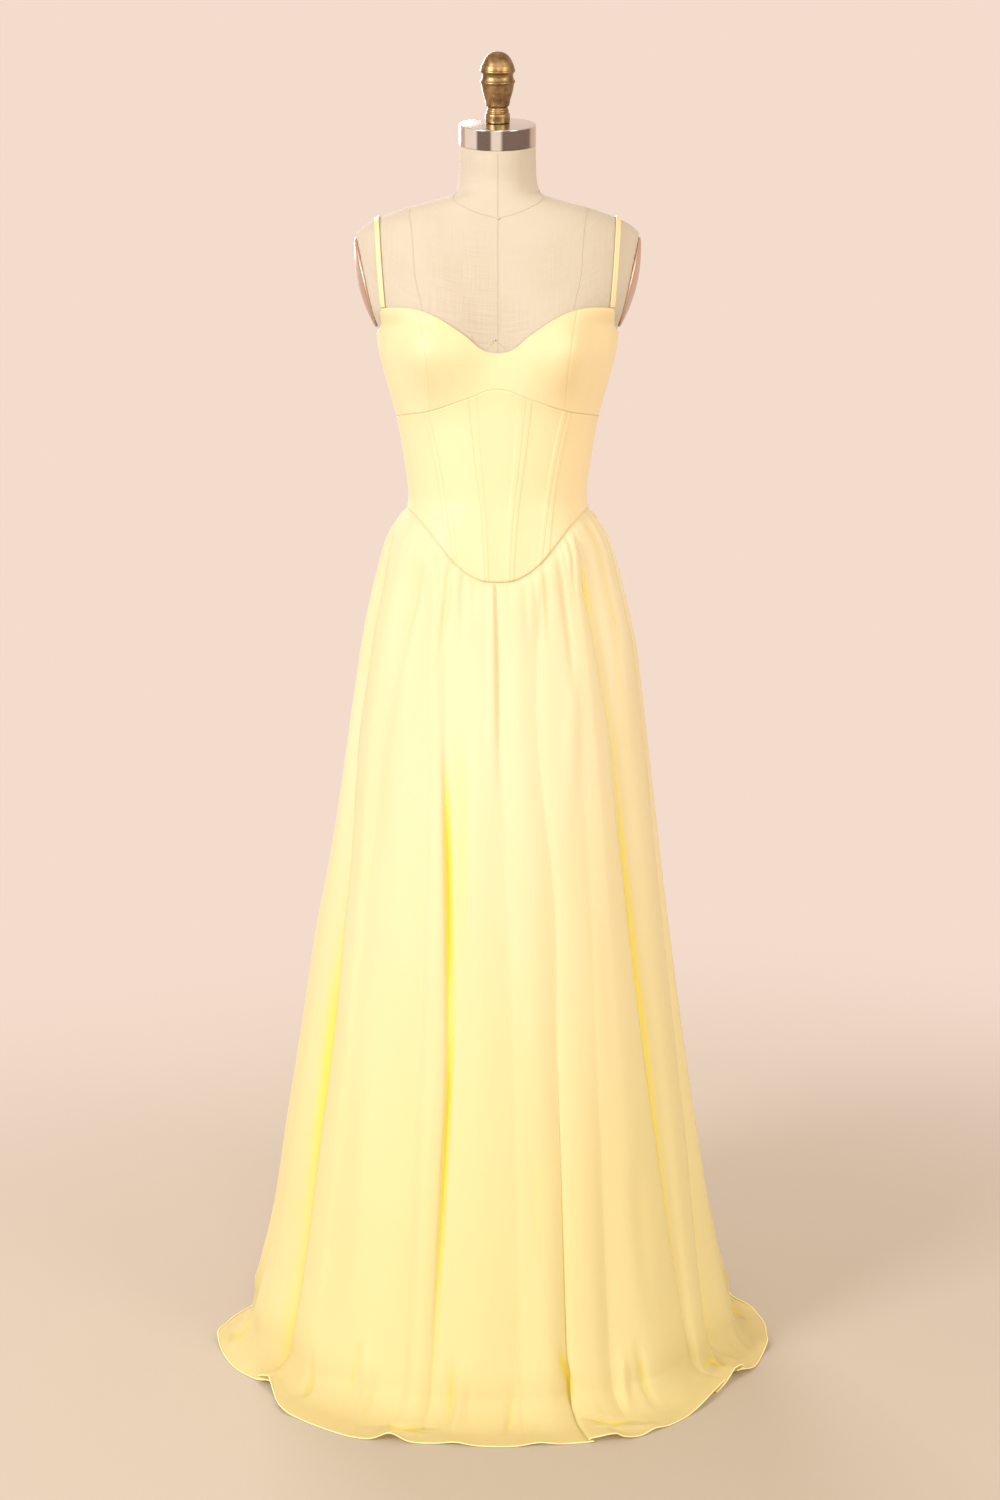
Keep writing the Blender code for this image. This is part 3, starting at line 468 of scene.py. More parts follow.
def arm_cut(z):
    """Distance from the middle of the flat that the arm plate sits on."""
    return ARM_CUT_X + ARM_CUT_SLOPE * (z - ARM_CUT_LOW)


def form_middle(z):
    """How far a section's middle lies behind the upright axis."""
    return (read(SECTIONS, "back", z) - read(SECTIONS, "front", z)) / 2


def form_radius(angle, z):
    """Reach of the form's surface from a section's middle, with the bust."""
    half = read(SECTIONS, "half_width", z)
    deep = (read(SECTIONS, "front", z) + read(SECTIONS, "back", z)) / 2
    power = read(SECTIONS, "power", z)
    turn = np.radians(angle)
    across = np.abs(np.sin(turn)) / half
    along = np.abs(np.cos(turn)) / deep
    radius = (across**power + along**power) ** (-1 / power)
    rise = (z - BUST_HEIGHT) / BUST_TALL
    for side in (-1, 1):
        off = (angle - side * BUST_ANGLE) / BUST_SPREAD
        radius = radius + BUST_DEPTH * np.exp(-off * off - rise * rise)
    return radius


def form_point(angle, z):
    """Points of the dress form's surface."""
    angle, z = np.broadcast_arrays(np.asarray(angle, float), np.asarray(z, float))
    radius = form_radius(angle, z)
    turn = np.radians(angle)
    x = radius * np.sin(turn)
    cut = np.where(z >= ARM_CUT_LOW, arm_cut(z), 1.0)
    x = np.clip(x, -cut, cut)
    ahead = -radius * np.cos(turn)
    lean = ease((z - NECK_TILT_FROM) / (NECK_TOP - NECK_TILT_FROM)) * math.tan(NECK_TILT)
    return np.stack((x, form_middle(z) + ahead, z + lean * ahead), axis=-1)


def off_form(angle, z, out):
    """Points at a distance off the dress form's surface."""
    step = 0.8
    rise = 0.003
    round_way = form_point(angle + step, z) - form_point(angle - step, z)
    up_way = form_point(angle, z + rise) - form_point(angle, z - rise)
    normal = unit(np.cross(round_way, up_way))
    return form_point(angle, z) + normal * np.asarray(out)[..., None]


def edge_at(edge, angle):
    """Height of an edge at an angle, the same on both sides of the middle."""
    return read(edge, "z", np.abs(wrap(angle)))


def seam_at(seam, z, side):
    """Angle at which a seam of the front crosses a height, side -1 or +1."""
    x = read(seam, "x", z)

    def short(angle):
        return form_radius(angle, z) * np.sin(np.radians(angle)) < x

    low, high = halve(0 * x, 0 * x + SIDE_ANGLE - 1, short, 24)
    return side * (low + high) / 2


# Meshes

def put_in_scene(name, data):
    """A new object in the scene for a mesh, a lamp or a camera."""
    made = bpy.data.objects.new(name, data)
    bpy.context.scene.collection.objects.link(made)
    return made


def add_layer(mesh, name, pairs):
    """A layer of two numbers per point, kept as texture coordinates."""
    layer = mesh.uv_layers.new(name=name)
    corners = np.zeros(len(mesh.loops), np.int32)
    mesh.loops.foreach_get("vertex_index", corners)
    layer.data.foreach_set("uv", pairs.reshape(-1, 2)[corners].astype(np.float32).ravel())


def add_mesh(name, points, faces, finish, uvs=None):
    """A smooth object from an array of points and an array or list of faces."""
    mesh = bpy.data.meshes.new(name)
    mesh.from_pydata(points.reshape(-1, 3), [], faces)
    mesh.materials.append(finish)
    mesh.shade_smooth()
    if uvs is not None:
        add_layer(mesh, "cloth", uvs)
    made = put_in_scene(name, mesh)
    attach(made, "root")
    return made


def run_of(line):
    """Distance along a line of points at each of them."""
    return np.concatenate(([0.0], np.cumsum(np.linalg.norm(np.diff(line, axis=0), axis=1))))


def grid_normals(points):
    """Unit normals of a grid of rows that go down and columns that go on to the right."""
    return unit(np.cross(np.gradient(points, axis=0), np.gradient(points, axis=1)))


def grid_faces(rows, columns, closed=False):
    """Quads of a grid, wound for an outside that faces away from the axis when rows go down."""
    index = np.arange(rows * columns).reshape(rows, columns)
    if closed:
        index = np.concatenate((index, index[:, :1]), axis=1)
    quads = (index[:-1, :-1], index[1:, :-1], index[1:, 1:], index[:-1, 1:])
    return np.stack(quads, axis=-1).reshape(-1, 4)


def capped_faces(rows, columns, start=0, turned_over=False):
    """Faces of a closed grid whose points start at a number, with a cap at each end."""
    ring = np.arange(start, start + columns)
    faces = (grid_faces(rows, columns, closed=True) + start).tolist()
    faces += [ring.tolist(), (ring[::-1] + (rows - 1) * columns).tolist()]
    return [[face[0], *face[:0:-1]] for face in faces] if turned_over else faces


def grid_uvs(points):
    """Distances in metres along the rows from the middle and, below zero, down the columns."""
    across = np.linalg.norm(np.diff(points, axis=1), axis=-1)
    along = np.pad(np.cumsum(across, axis=1), ((0, 0), (1, 0)))
    along -= along[:, along.shape[1] // 2][:, None]
    down = np.linalg.norm(np.diff(points, axis=0), axis=-1)
    drop = np.pad(np.cumsum(down, axis=0), ((1, 0), (0, 0)))
    return np.stack((along, -drop), axis=-1)


def shell(name, outer, thick, finish, fold_shade=None):
    """A closed thin wall under a sheet of points and above the floor, with its cloth coordinates
    and, where they are given, each point's share of painted fold shade and its distance up from the last
    row."""
    rows, columns = outer.shape[:2]
    inner = outer - grid_normals(outer) * thick
    inner[..., 2] = np.maximum(inner[..., 2], 0.0)
    count = rows * columns
    front = grid_faces(rows, columns)
    back = front[:, ::-1] + count
    index = np.arange(count).reshape(rows, columns)
    rim = np.concatenate((index[0, :-1], index[:-1, -1], index[-1, :0:-1], index[:0:-1, 0]))
    after = np.roll(rim, -1)
    side = np.stack((rim, after, after + count, rim + count), axis=-1)
    uvs = grid_uvs(outer)
    faces = np.concatenate((front, back, side))
    made = add_mesh(name, np.stack((outer, inner)), faces, finish, np.stack((uvs, uvs)))
    if fold_shade is not None:
        marks = np.stack((fold_shade, uvs[..., 1] - uvs[-1:, :, 1]), axis=-1)
        add_layer(made.data, "marks", np.stack((marks, marks)))
    return made


def tube(name, lines, radius, finish, sides=8):
    """Round cords along one or more lines of points, joined in one mesh."""
    points, faces, uvs = [], [], []
    turn = np.linspace(0, math.tau, sides, endpoint=False)
    start = 0
    for line in lines:
        along = unit(np.gradient(line, axis=0))
        helper = np.where(np.abs(along[:, 2:]) > 0.9, [[1.0, 0.0, 0.0]], [[0.0, 0.0, 1.0]])
        first = unit(np.cross(along, helper))
        second = np.cross(along, first)
        ring = np.cos(turn)[:, None] * first[:, None] + np.sin(turn)[:, None] * second[:, None]
        points.append((line[:, None] + ring * radius).reshape(-1, 3))
        pairs = np.broadcast_arrays(turn * radius, run_of(line)[:, None])
        uvs.append(np.stack(pairs, axis=-1).reshape(-1, 2))
        faces += capped_faces(len(line), sides, start, turned_over=True)
        start += len(line) * sides
    return add_mesh(name, np.concatenate(points), faces, finish, np.concatenate(uvs))


def stitches(name, lines, finish):
    """Rows of short thread stitches along lines of points."""
    dashes = []
    for line in lines:
        run = run_of(line)
        for k in range(int(run[-1] / STITCH_PITCH)):
            places = k * STITCH_PITCH + np.linspace(0, STITCH_LONG, 4)
            dashes.append(np.stack([np.interp(places, run, values) for values in line.T], axis=-1))
    return tube(name, dashes, STITCH_RADIUS, finish, sides=5)


def turned(name, profile, steps, place, finish, slices=1):
    """A body of revolution from (radius, height) pairs that start and end on the axis, smooth
    between them where slices is above one, with its turn and height as cloth coordinates."""
    profile = np.asarray(profile, float)
    if slices > 1:
        run = run_of(profile)
        at = np.interp(np.arange((len(run) - 1) * slices + 1) / slices, np.arange(len(run)), run)
        profile = np.stack([curve(run, values, at) for values in profile.T], axis=-1)
    turn = np.linspace(0, math.tau, steps, endpoint=False)
    rings = profile[1:-1]
    x, y = rings[:, :1] * np.cos(turn), rings[:, :1] * np.sin(turn)
    points = np.stack((x, y, np.broadcast_to(rings[:, 1:], x.shape)), axis=-1).reshape(-1, 3)
    low, high = len(points), len(points) + 1
    points = np.concatenate((points, [[0, 0, profile[0, 1]], [0, 0, profile[-1, 1]]]))
    faces = grid_faces(len(rings), steps, closed=True)[:, [0, 3, 2, 1]].tolist()
    for a in range(steps):
        b = (a + 1) % steps
        faces += [(low, b, a), (high, low - steps + a, low - steps + b)]
    # Turn 0 lies at the back, where the coordinates jump
    front = np.degrees(np.arctan2(points[:, 0], -points[:, 1]))
    uvs = np.stack((front / 360 + 0.5, points[:, 2]), axis=-1)
    matrix = np.array(place)
    return add_mesh(name, points @ matrix[:3, :3].T + matrix[:3, 3], faces, finish, uvs)


# Finishes

class Finish:
    """A node material around one Principled shader."""

    def __init__(self, name, roughness, metallic=0.0):
        self.made = bpy.data.materials.new(name)
        self.made.use_nodes = True
        self.tree = self.made.node_tree
        self.shader = self.tree.nodes["Principled BSDF"]
        self.fill(self.shader, {"Roughness": roughness, "Metallic": metallic})

    def fill(self, node, inputs):
        """Sets a node's inputs to numbers, colours or other nodes' outputs."""
        for name, value in inputs.items():
            socket = node.inputs[name]
            if isinstance(value, bpy.types.NodeSocket):
                self.tree.links.new(value, socket)
            elif isinstance(value, tuple) and len(socket.default_value) == 4:
                socket.default_value = (*value, 1.0)
            else:
                socket.default_value = value

    def done(self, inputs):
        """The material, with its shader's inputs set."""
        self.fill(self.shader, inputs)
        return self.made

    def surface(self, output):
        """Another shader as the material's surface."""
        self.fill(self.tree.nodes["Material Output"], {"Surface": output})

    def add(self, kind, inputs, **settings):
        """A new node with its settings and inputs."""
        node = self.tree.nodes.new("ShaderNode" + kind)
        for name, value in settings.items():
            setattr(node, name, value)
        self.fill(node, inputs)
        return node

    def cloth(self, layer="cloth"):
        """Cloth coordinates, metres along and across the weave, or another layer of pairs."""
        return self.add("UVMap", {}, uv_map=layer).outputs["UV"]

    def place(self):
        """Coordinates in metres in the row frame."""
        return self.add("TexCoord", {}).outputs["Object"]

    def split(self, vector):
        return self.add("SeparateXYZ", {"Vector": vector}).outputs

    def stretch(self, vector, scale):
        return self.add("Mapping", {"Vector": vector, "Scale": scale}).outputs["Vector"]

    def noise(self, vector, scale, detail=2.0, roughness=0.5):
        """Soft noise, finer the larger the scale, which is one number or one for each way."""
        if isinstance(scale, tuple):
            vector, scale = self.stretch(vector, scale), 1.0
        inputs = {"Vector": vector, "Scale": scale, "Detail": detail, "Roughness": roughness}
        return self.add("TexNoise", inputs).outputs["Fac"]

    def wave(self, vector, pitch, direction):
        """Ridges a pitch apart, where a scale of one puts them tau / 20 apart."""
        inputs = {"Vector": vector, "Scale": math.tau / (20 * pitch)}
        made = self.add("TexWave", inputs, wave_type="BANDS", bands_direction=direction)
        return made.outputs["Fac"]

    def math(self, operation, *values):
        return self.add("Math", dict(enumerate(values)), operation=operation).outputs[0]

    def ramp(self, value, low, high):
        """Share of the way of a value between two limits."""
        inputs = {"Value": value, "From Min": low, "From Max": high}
        return self.add("MapRange", inputs, interpolation_type="SMOOTHSTEP").outputs["Result"]

    def blend(self, share, a, b):
        """A mix of two colours."""
        return self.add("Mix", {0: share, 6: a, 7: b}, data_type="RGBA").outputs[2]

    def both(self, share, a, b):
        """A mix of two shaders."""
        return self.add("MixShader", {0: share, 1: a, 2: b}).outputs[0]

    def bump(self, height, distance, strength, under=None):
        inputs = {"Height": height, "Distance": distance, "Strength": strength}
        if under is not None:
            inputs["Normal"] = under
        return self.add("Bump", inputs).outputs["Normal"]


def satin():
    """Smooth pale yellow cloth of the bodice and straps."""
    finish = Finish("satin", 0.46)
    cloth = finish.cloth()
    soft = finish.noise(cloth, (9, 5, 1), 3.0)
    twill = finish.wave(finish.stretch(cloth, (1.0, 0.7, 1.0)), 0.0007, "DIAGONAL")
    ripple = finish.noise(cloth, (30, 45, 1))
    return finish.done({
        "Base Color": finish.blend(finish.ramp(soft, 0.35, 0.65), SATIN_LOW, SATIN_HIGH),
        "Sheen Weight": 0.35,
        "Sheen Roughness": 0.35,
        "Sheen Tint": (1.0, 0.95, 0.75),
        "Specular IOR Level": 0.42,
        "Normal": finish.bump(ripple, 0.0006, 0.35, finish.bump(twill, 0.00003, 0.35)),
    })


def chiffon():
    """Crepe-textured pale yellow cloth of the skirt, sheerer along the hem, with painted shade in its
    folds.
    """
    finish = Finish("chiffon", 0.62)
    cloth = finish.cloth()
    marks = finish.split(finish.cloth("marks"))
    soft = finish.noise(cloth, (7, 2.0, 1), 3.0)
    colour = finish.blend(finish.ramp(soft, 0.35, 0.65), CHIFFON_LOW, CHIFFON_HIGH)
    fallen = finish.math("MULTIPLY", finish.ramp(marks["Y"], 1.0, 0.15), FALL_SHARE)
    colour = finish.blend(fallen, colour, CHIFFON_FALL)
    # Painted shade: a deeper yellow in the valleys and creases and a paler one on ridges, in place of their
    # shade and glow
    colour = finish.blend(finish.ramp(marks["X"], 0.30, 1.3), colour, CHIFFON_FOLD_SHADE)
    crepe = finish.noise(cloth, (1400, 900, 1))
    ripple = finish.noise(cloth, (24, 5, 1))
    through = finish.add("BsdfTranslucent", {"Color": colour}).outputs[0]
    thick = finish.both(THROUGH_SHARE, finish.shader.outputs[0], through)
    sheer = finish.math("MULTIPLY", finish.ramp(marks["Y"], 0.13, 0.01), SHEER_SHARE)
    clear = finish.add("BsdfTransparent", {"Color": (1.0, 0.97, 0.86)}).outputs[0]
    finish.surface(finish.both(sheer, thick, clear))
    return finish.done({
        "Base Color": colour,
        "Sheen Weight": 0.30,
        "Sheen Roughness": 0.45,
        "Sheen Tint": (1.0, 0.95, 0.78),
        "Specular IOR Level": 0.30,
        "Normal": finish.bump(ripple, 0.0010, 0.30, finish.bump(crepe, 0.00005, 0.5)),
    })


def chiffon_edge():
    """The narrow hem, rolled over twice, where the cloth is at its fullest colour."""
    finish = Finish("chiffon_edge", 0.6)
    twist = finish.wave(finish.cloth(), 0.0011, "DIAGONAL")
    return finish.done({
        "Base Color": finish.blend(twist, CHIFFON_HIGH, EDGE_COLOUR),
        "Normal": finish.bump(twist, 0.0002, 0.4),
    })


def thread():
    """Sewing thread, a little deeper than the cloth."""
    finish = Finish("thread", 0.5)
    twist = finish.wave(finish.stretch(finish.cloth(), (1, 1.6, 1)), 0.0003, "DIAGONAL")
    return finish.done({"Base Color": finish.blend(twist, THREAD_COLOUR, SATIN_HIGH), "Sheen Weight": 0.2})


def linen():
    """Undyed linen with slubs, drawn over the dress form."""
    finish = Finish("linen", 0.88)
    cloth = finish.cloth()
    warp, weft = (finish.noise(cloth, scale, 3.0, 0.6) for scale in ((900, 22, 1), (22, 900, 1)))
    slubs = finish.math("MULTIPLY", finish.math("ADD", warp, weft), 0.5)
    colour = finish.blend(finish.ramp(slubs, 0.36, 0.64), LINEN_LOW, LINEN_HIGH)
    broad = finish.noise(cloth, (6, 6, 1))
    grid = finish.math("ADD", finish.wave(cloth, 0.0009, "X"), finish.wave(cloth, 0.0009, "Y"))
    return finish.done({
        "Base Color": finish.blend(finish.ramp(broad, 0.3, 0.7), colour, LINEN_HIGH),
        "Sheen Weight": 0.2,
        "Specular IOR Level": 0.2,
        "Normal": finish.bump(slubs, 0.0004, 0.5, finish.bump(grid, 0.00010, 0.5)),
    })


def steel(name, colour, roughness):
    """Polished steel with fine turned lines."""
    finish = Finish(name, roughness, 1.0)
    place = finish.place()
    lines = finish.noise(place, (60, 60, 2600))
    worn = finish.noise(place, 55.0, 4.0)
    return finish.done({
        "Base Color": finish.blend(finish.ramp(worn, 0.3, 0.8), colour, STEEL_WORN),
        "Roughness": finish.math("MULTIPLY_ADD", worn, 0.12, roughness - 0.05),
        "Normal": finish.bump(lines, 0.00004, 0.35),
    })


def brass():
    """Old brass, mottled dark and bright at random, with darker streaks and fine pits."""
    finish = Finish("brass", 0.30, 1.0)
    place = finish.place()
    worn = finish.noise(place, 70.0, 5.0, 0.6)
    colour = finish.blend(finish.ramp(worn, 0.30, 0.72), BRASS_DARK, BRASS_BRIGHT)
    streaks = finish.noise(finish.cloth(), (14, 260, 1), 3.0)
    dark = finish.math("MULTIPLY", finish.ramp(streaks, 0.5, 0.75), 0.5)
    pits = finish.noise(place, 380.0, 4.0, 0.7)
    return finish.done({
        "Base Color": finish.blend(dark, colour, BRASS_DARK),
        "Roughness": finish.math("MULTIPLY_ADD", worn, 0.30, 0.22),
        "Normal": finish.bump(pits, 0.0002, 0.30),
    })


def painted_reflection_steel():
    """Steel turned to a mirror, with painted reflections round the band: light, dark and warm streaks in
    place of the room it would mirror.
    """
    finish = Finish("painted_reflection_steel", 0.18, 1.0)
    cloth = finish.cloth()
    turn, height, _ = finish.split(cloth)
    # Painted reflections: bands of light, dark and warm room tone set by the turn round the band
    reflection = finish.add("ValToRGB", {"Fac": turn})
    ramp = reflection.color_ramp
    for place, colour in BAND_PAINTED_REFLECTIONS:
        ramp.elements.new(place).color = (*colour, 1)
    ramp.elements.remove(ramp.elements[0])
    ramp.elements.remove(ramp.elements[-1])
    side = finish.ramp(height, CAP_BAND - 0.0006, CAP_BAND - 0.0016)
    lines = finish.noise(cloth, (60, 9000, 1))
    colour = finish.blend(side, STEEL_COLOUR, reflection.outputs["Color"])
    return finish.done({
        "Base Color": finish.blend(finish.ramp(lines, 0.2, 1.6), colour, STEEL_WORN),
        "Normal": finish.bump(lines, 0.00003, 0.25),
    })


def iron():
    """Black enamelled iron of the hidden foot."""
    finish = Finish("iron", 0.5, 0.3)
    grain = finish.noise(finish.place(), 240.0, 4.0)
    return finish.done({
        "Base Color": finish.blend(grain, IRON_LOW, IRON_HIGH),
        "Normal": finish.bump(grain, 0.0006, 0.4),
    })


SATIN_LOW, SATIN_HIGH = (0.73, 0.585, 0.325), (0.77, 0.62, 0.355)
CHIFFON_LOW, CHIFFON_HIGH = (0.88, 0.77, 0.48), (0.90, 0.80, 0.53)
CHIFFON_FALL = (0.88, 0.775, 0.345)
# Painted shade of the skirt's valleys and creases
CHIFFON_FOLD_SHADE = (0.99, 0.84, 0.10)
LINEN_LOW, LINEN_HIGH = (0.475, 0.405, 0.305), (0.55, 0.485, 0.39)
STEEL_COLOUR, STEEL_WORN = (0.70, 0.67, 0.63), (0.56, 0.52, 0.48)
# Arm plates: the steel's warm tone with a painted reflection of a pink room in it
PLATE_TONE_AND_REFLECTION = (0.70, 0.47, 0.34)
BRASS_DARK, BRASS_BRIGHT = (0.15, 0.090, 0.042), (0.42, 0.27, 0.12)
THREAD_COLOUR = (0.90, 0.78, 0.38)
EDGE_COLOUR = (0.97, 0.86, 0.34)
IRON_LOW, IRON_HIGH = (0.018, 0.018, 0.020), (0.045, 0.044, 0.043)
REFLECTED_LIGHT, REFLECTED_DARK, REFLECTED_ROOM = (0.95, 0.93, 0.90), (0.16, 0.12, 0.10), (0.64, 0.48, 0.41)
# Painted reflections round the neck cap's band, light, dark and the warm tone of the room, as shares of the
# turn from the back over the left side
BAND_PAINTED_REFLECTIONS = (
    (0.00, REFLECTED_ROOM), (0.12, REFLECTED_DARK), (0.20, REFLECTED_ROOM), (0.335, REFLECTED_ROOM),
    (0.345, REFLECTED_LIGHT), (0.405, REFLECTED_LIGHT), (0.415, REFLECTED_DARK), (0.468, REFLECTED_DARK),
    (0.478, REFLECTED_LIGHT), (0.510, REFLECTED_LIGHT), (0.522, REFLECTED_DARK), (0.650, REFLECTED_DARK),
    (0.665, REFLECTED_ROOM), (0.80, REFLECTED_ROOM), (0.88, REFLECTED_DARK), (0.95, REFLECTED_LIGHT),
)
THROUGH_SHARE = 0.27
FALL_SHARE = 0.65
SHEER_SHARE = 0.36

SATIN = satin()
CHIFFON = chiffon()
CHIFFON_EDGE = chiffon_edge()
LINEN = linen()
STEEL = steel("steel", STEEL_COLOUR, 0.16)
# Arm plate steel, its colour partly a painted reflection of a pink room
PLATE_STEEL = steel("plate_steel", PLATE_TONE_AND_REFLECTION, 0.42)
PAINTED_REFLECTION_STEEL = painted_reflection_steel()
THREAD = thread()
BRASS = brass()
IRON = iron()


# Dress form

def make_torso():
    """The padded linen body, closed at the hips and the neck."""
    neck = np.linspace(NECK_TOP, SHOULDER, NECK_ROWS)
    heights = np.concatenate((neck, np.linspace(SHOULDER - 0.002, FORM_BOTTOM, BODY_ROWS)))
    angles = np.linspace(-180, 180, FORM_COLUMNS, endpoint=False)
    points = form_point(angles[None, :], heights[:, None])
    made = add_mesh("linen_body", points, capped_faces(*points.shape[:2]), LINEN, grid_uvs(points))
    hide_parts("form_torso")


def make_form_seams():
    """Seams of the linen cover: centre front and back, princess seams over the shoulders, neck."""
    heights = np.linspace(FORM_SEAM_TOP, FORM_SEAM_LOW, 240)
    lines = [off_form(angle, heights, 0.0) for angle in (0.0, 180.0)]
    over = np.linspace(FORM_SEAM_LOW, FORM_SEAM_OVER, 220)
    for side in (-1, 1):
        ahead = seam_at(FORM_SEAM, over, side)
        lines.append(np.concatenate((off_form(ahead, over, 0.0), off_form(180 - ahead, over, 0.0)[::-1])))
    angles = np.linspace(-180, 180, 200)
    lines.append(off_form(angles, edge_at(NECK_SEAM, angles), 0.0))
    made = tube("linen_seams", lines, FORM_SEAM_RADIUS, LINEN, sides=6)


def neck_frame(along):
    """Place on the neck's leaning axis, at a distance above the neck's top."""
    lean = Matrix.Rotation(NECK_TILT, 4, "X")
    start = Vector((0, NECK_TOP_Y, NECK_TOP))
    return Matrix.Translation(start + lean @ Vector((0, 0, along))) @ lean


def make_neck_fittings():
    """The steel cap with its softened edges, and the turned brass finial on it."""
    r, top = CAP_RADIUS, CAP_BAND
    edge = ((0.001, 0), (0.0003, 0.0003), (0, 0.001), (0, 0.0024))
    profile = [(0, 0), *((r - x, z) for x, z in edge), (r, top / 2)]
    profile += [(r - x, top - z) for x, z in edge[::-1]]
    profile += [(r - 0.0030, top + 0.0001), (r * 0.6, top + CAP_CROWN * 0.6)]
    profile += [(0.0165, top + CAP_CROWN * 0.9), (0, top + CAP_CROWN)]
    cap = turned("neck_cap_steel", profile, 128, neck_frame(SEAM_GAP), PAINTED_REFLECTION_STEEL)
    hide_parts("neck_cap")
    knob = turned("finial_brass", FINIAL, 96, neck_frame(SEAM_GAP * 2 + top + CAP_CROWN), BRASS, slices=4)
    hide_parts("finial")


def make_arm_plate(side):
    """An oval domed plate with a rolled rim, on the flat where an arm would join."""
    lean = math.atan(ARM_CUT_SLOPE)
    middle = np.array((side * arm_cut(ARM_PLATE_HEIGHT), 0, ARM_PLATE_HEIGHT))
    out = np.array((side * math.cos(lean), 0, -math.sin(lean)))
    up = np.array((side * math.sin(lean), 0, math.cos(lean))) * ARM_PLATE_TALL
    wide = np.array((0, ARM_PLATE_WIDE, 0))
    rim = ARM_PLATE_RIM
    levels = [(0.985, 0.0), (0.996, 0.0004), (1.0, 0.0012), (1.0, rim - 0.0010)]
    levels += [(0.995, rim - 0.0002), (0.975, rim + 0.0002), (0.965, rim - 0.0002)]
    levels += [(share, mix(ARM_PLATE_CROWN, rim, share**2)) for share in np.linspace(0.955, 0.02, 26)]
    turns = np.linspace(0, math.tau, 120, endpoint=False)
    ring = np.cos(turns)[:, None] * wide + np.sin(turns)[:, None] * up
    points = np.stack([middle + out * (SEAM_GAP + height) + ring * share for share, height in levels])
    name = "arm_plate_right" if side > 0 else "arm_plate_left"
    faces = capped_faces(*points.shape[:2], turned_over=side < 0)
    piece = add_mesh(name + "_steel", points, faces, PLATE_STEEL)
    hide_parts(name)


def make_pins():
    """Two dressmaker's pins pushed into the centre front seam, with a tack of thread under one."""
    heads = [off_form(angle, np.array((z, z - 0.0001)), np.array((0.0001, 0.0016))) for angle, z in PINS]
    pins = tube("pins", heads, PIN_RADIUS, STEEL, sides=10)
    share = np.linspace(0, 1, 12)
    from_angle, from_z = PINS[1]
    tack = [off_form(mix(from_angle, angle, share), mix(from_z, z, share), 0.0001) for angle, z in TACKS]
    made = tube("tack_thread", tack, TACK_RADIUS, LINEN, sides=5)


# Bodice

def panel_grid(left, right, low, high, columns, rows, boned):
    """Outer points of a bodice piece between two seams and two edges, from the top down, with a
    raised boning channel along the seams that hold a bone and a soft dip at every seam."""
    up = np.linspace(1, 0, rows)[:, None]
    inset = math.degrees(SEAM_TRIM / BODICE_RADIUS)

    def place(across, out):
        start = np.array(1.2)
        angle = np.full((rows, across.shape[1]), (left(start) + right(start)) / 2)
        for _ in range(8):
            z = mix(edge_at(low, angle) + SEAM_TRIM, edge_at(high, angle) - SEAM_TRIM, up)
            angle = mix(left(z) + inset, right(z) - inset, across)
        return off_form(angle, z, out)

    ends = place(np.array([[0.0, 1.0]]), np.zeros((rows, 2)))
    wide = np.linalg.norm(ends[rows // 2, 1] - ends[rows // 2, 0])
    near = np.array(NEAR_SEAM) / wide
    middle = np.linspace(near[-1], 1 - near[-1], columns + 2)[1:-1]
    shares = np.concatenate((near, middle, 1 - near[::-1]))
    out = np.full((rows, len(shares)), LIE_GAP + BODICE_WALL)
    for across, raised in zip((shares, 1 - shares), boned):
        off = across * wide
        out -= SEAM_DIP * np.exp(-(off / SEAM_DIP_WIDE) ** 2)[None]
        if raised:
            out += CHANNEL_RISE * (1 - ease((off - CHANNEL_WIDTH + 0.0008) / 0.0016))[None]
    return place(shares[None, :], out)


def make_bodice():
    """The panels of the bodice, each between two seams and two edges."""
    def line(seam):
        return lambda side: lambda z: seam_at(seam, z, side)

    def upright(angle):
        return lambda side: lambda z: np.full_like(z, side * angle)

    def panel(name, left, right, low, high, columns, rows, boned=(False, False)):
        points = panel_grid(left, right, low, high, columns, rows, boned)
        piece = shell(name + "_cloth", points, BODICE_SHELL, SATIN)
        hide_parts(name)

    def pair(name, near, far, low, high, columns, rows, boned=(False, False)):
        panel(name + "_left", far(-1), near(-1), low, high, columns, rows, boned[::-1])
        panel(name + "_right", near(1), far(1), low, high, columns, rows, boned)

    princess, inner, outer = line(PRINCESS_SEAM), line(INNER_SEAM), line(OUTER_SEAM)
    side_seam, centre_back = upright(SIDE_ANGLE), upright(180.0)
    both = (True, True)
    panel("bust_front", princess(-1), princess(1), UNDERBUST_EDGE, TOP_EDGE, 90, 60)
    panel("corset_centre", inner(-1), inner(1), WAIST_EDGE, UNDERBUST_EDGE, 20, 90, both)
    pair("bust_side", princess, side_seam, UNDERBUST_EDGE, TOP_EDGE, 40, 60)
    pair("corset_inner", inner, outer, WAIST_EDGE, UNDERBUST_EDGE, 24, 80, both)
    pair("corset_side", outer, side_seam, WAIST_EDGE, UNDERBUST_EDGE, 30, 70, (True, False))
    pair("bodice_back", side_seam, centre_back, WAIST_EDGE, TOP_EDGE, 56, 80)


# Straps

def height_over_form(points):
    """Distance outside the form's surface, below zero inside it."""
    behind = points[..., 1] - form_middle(points[..., 2])
    angle = np.degrees(np.arctan2(points[..., 0], -behind))
    return np.hypot(points[..., 0], behind) - form_radius(angle, points[..., 2])


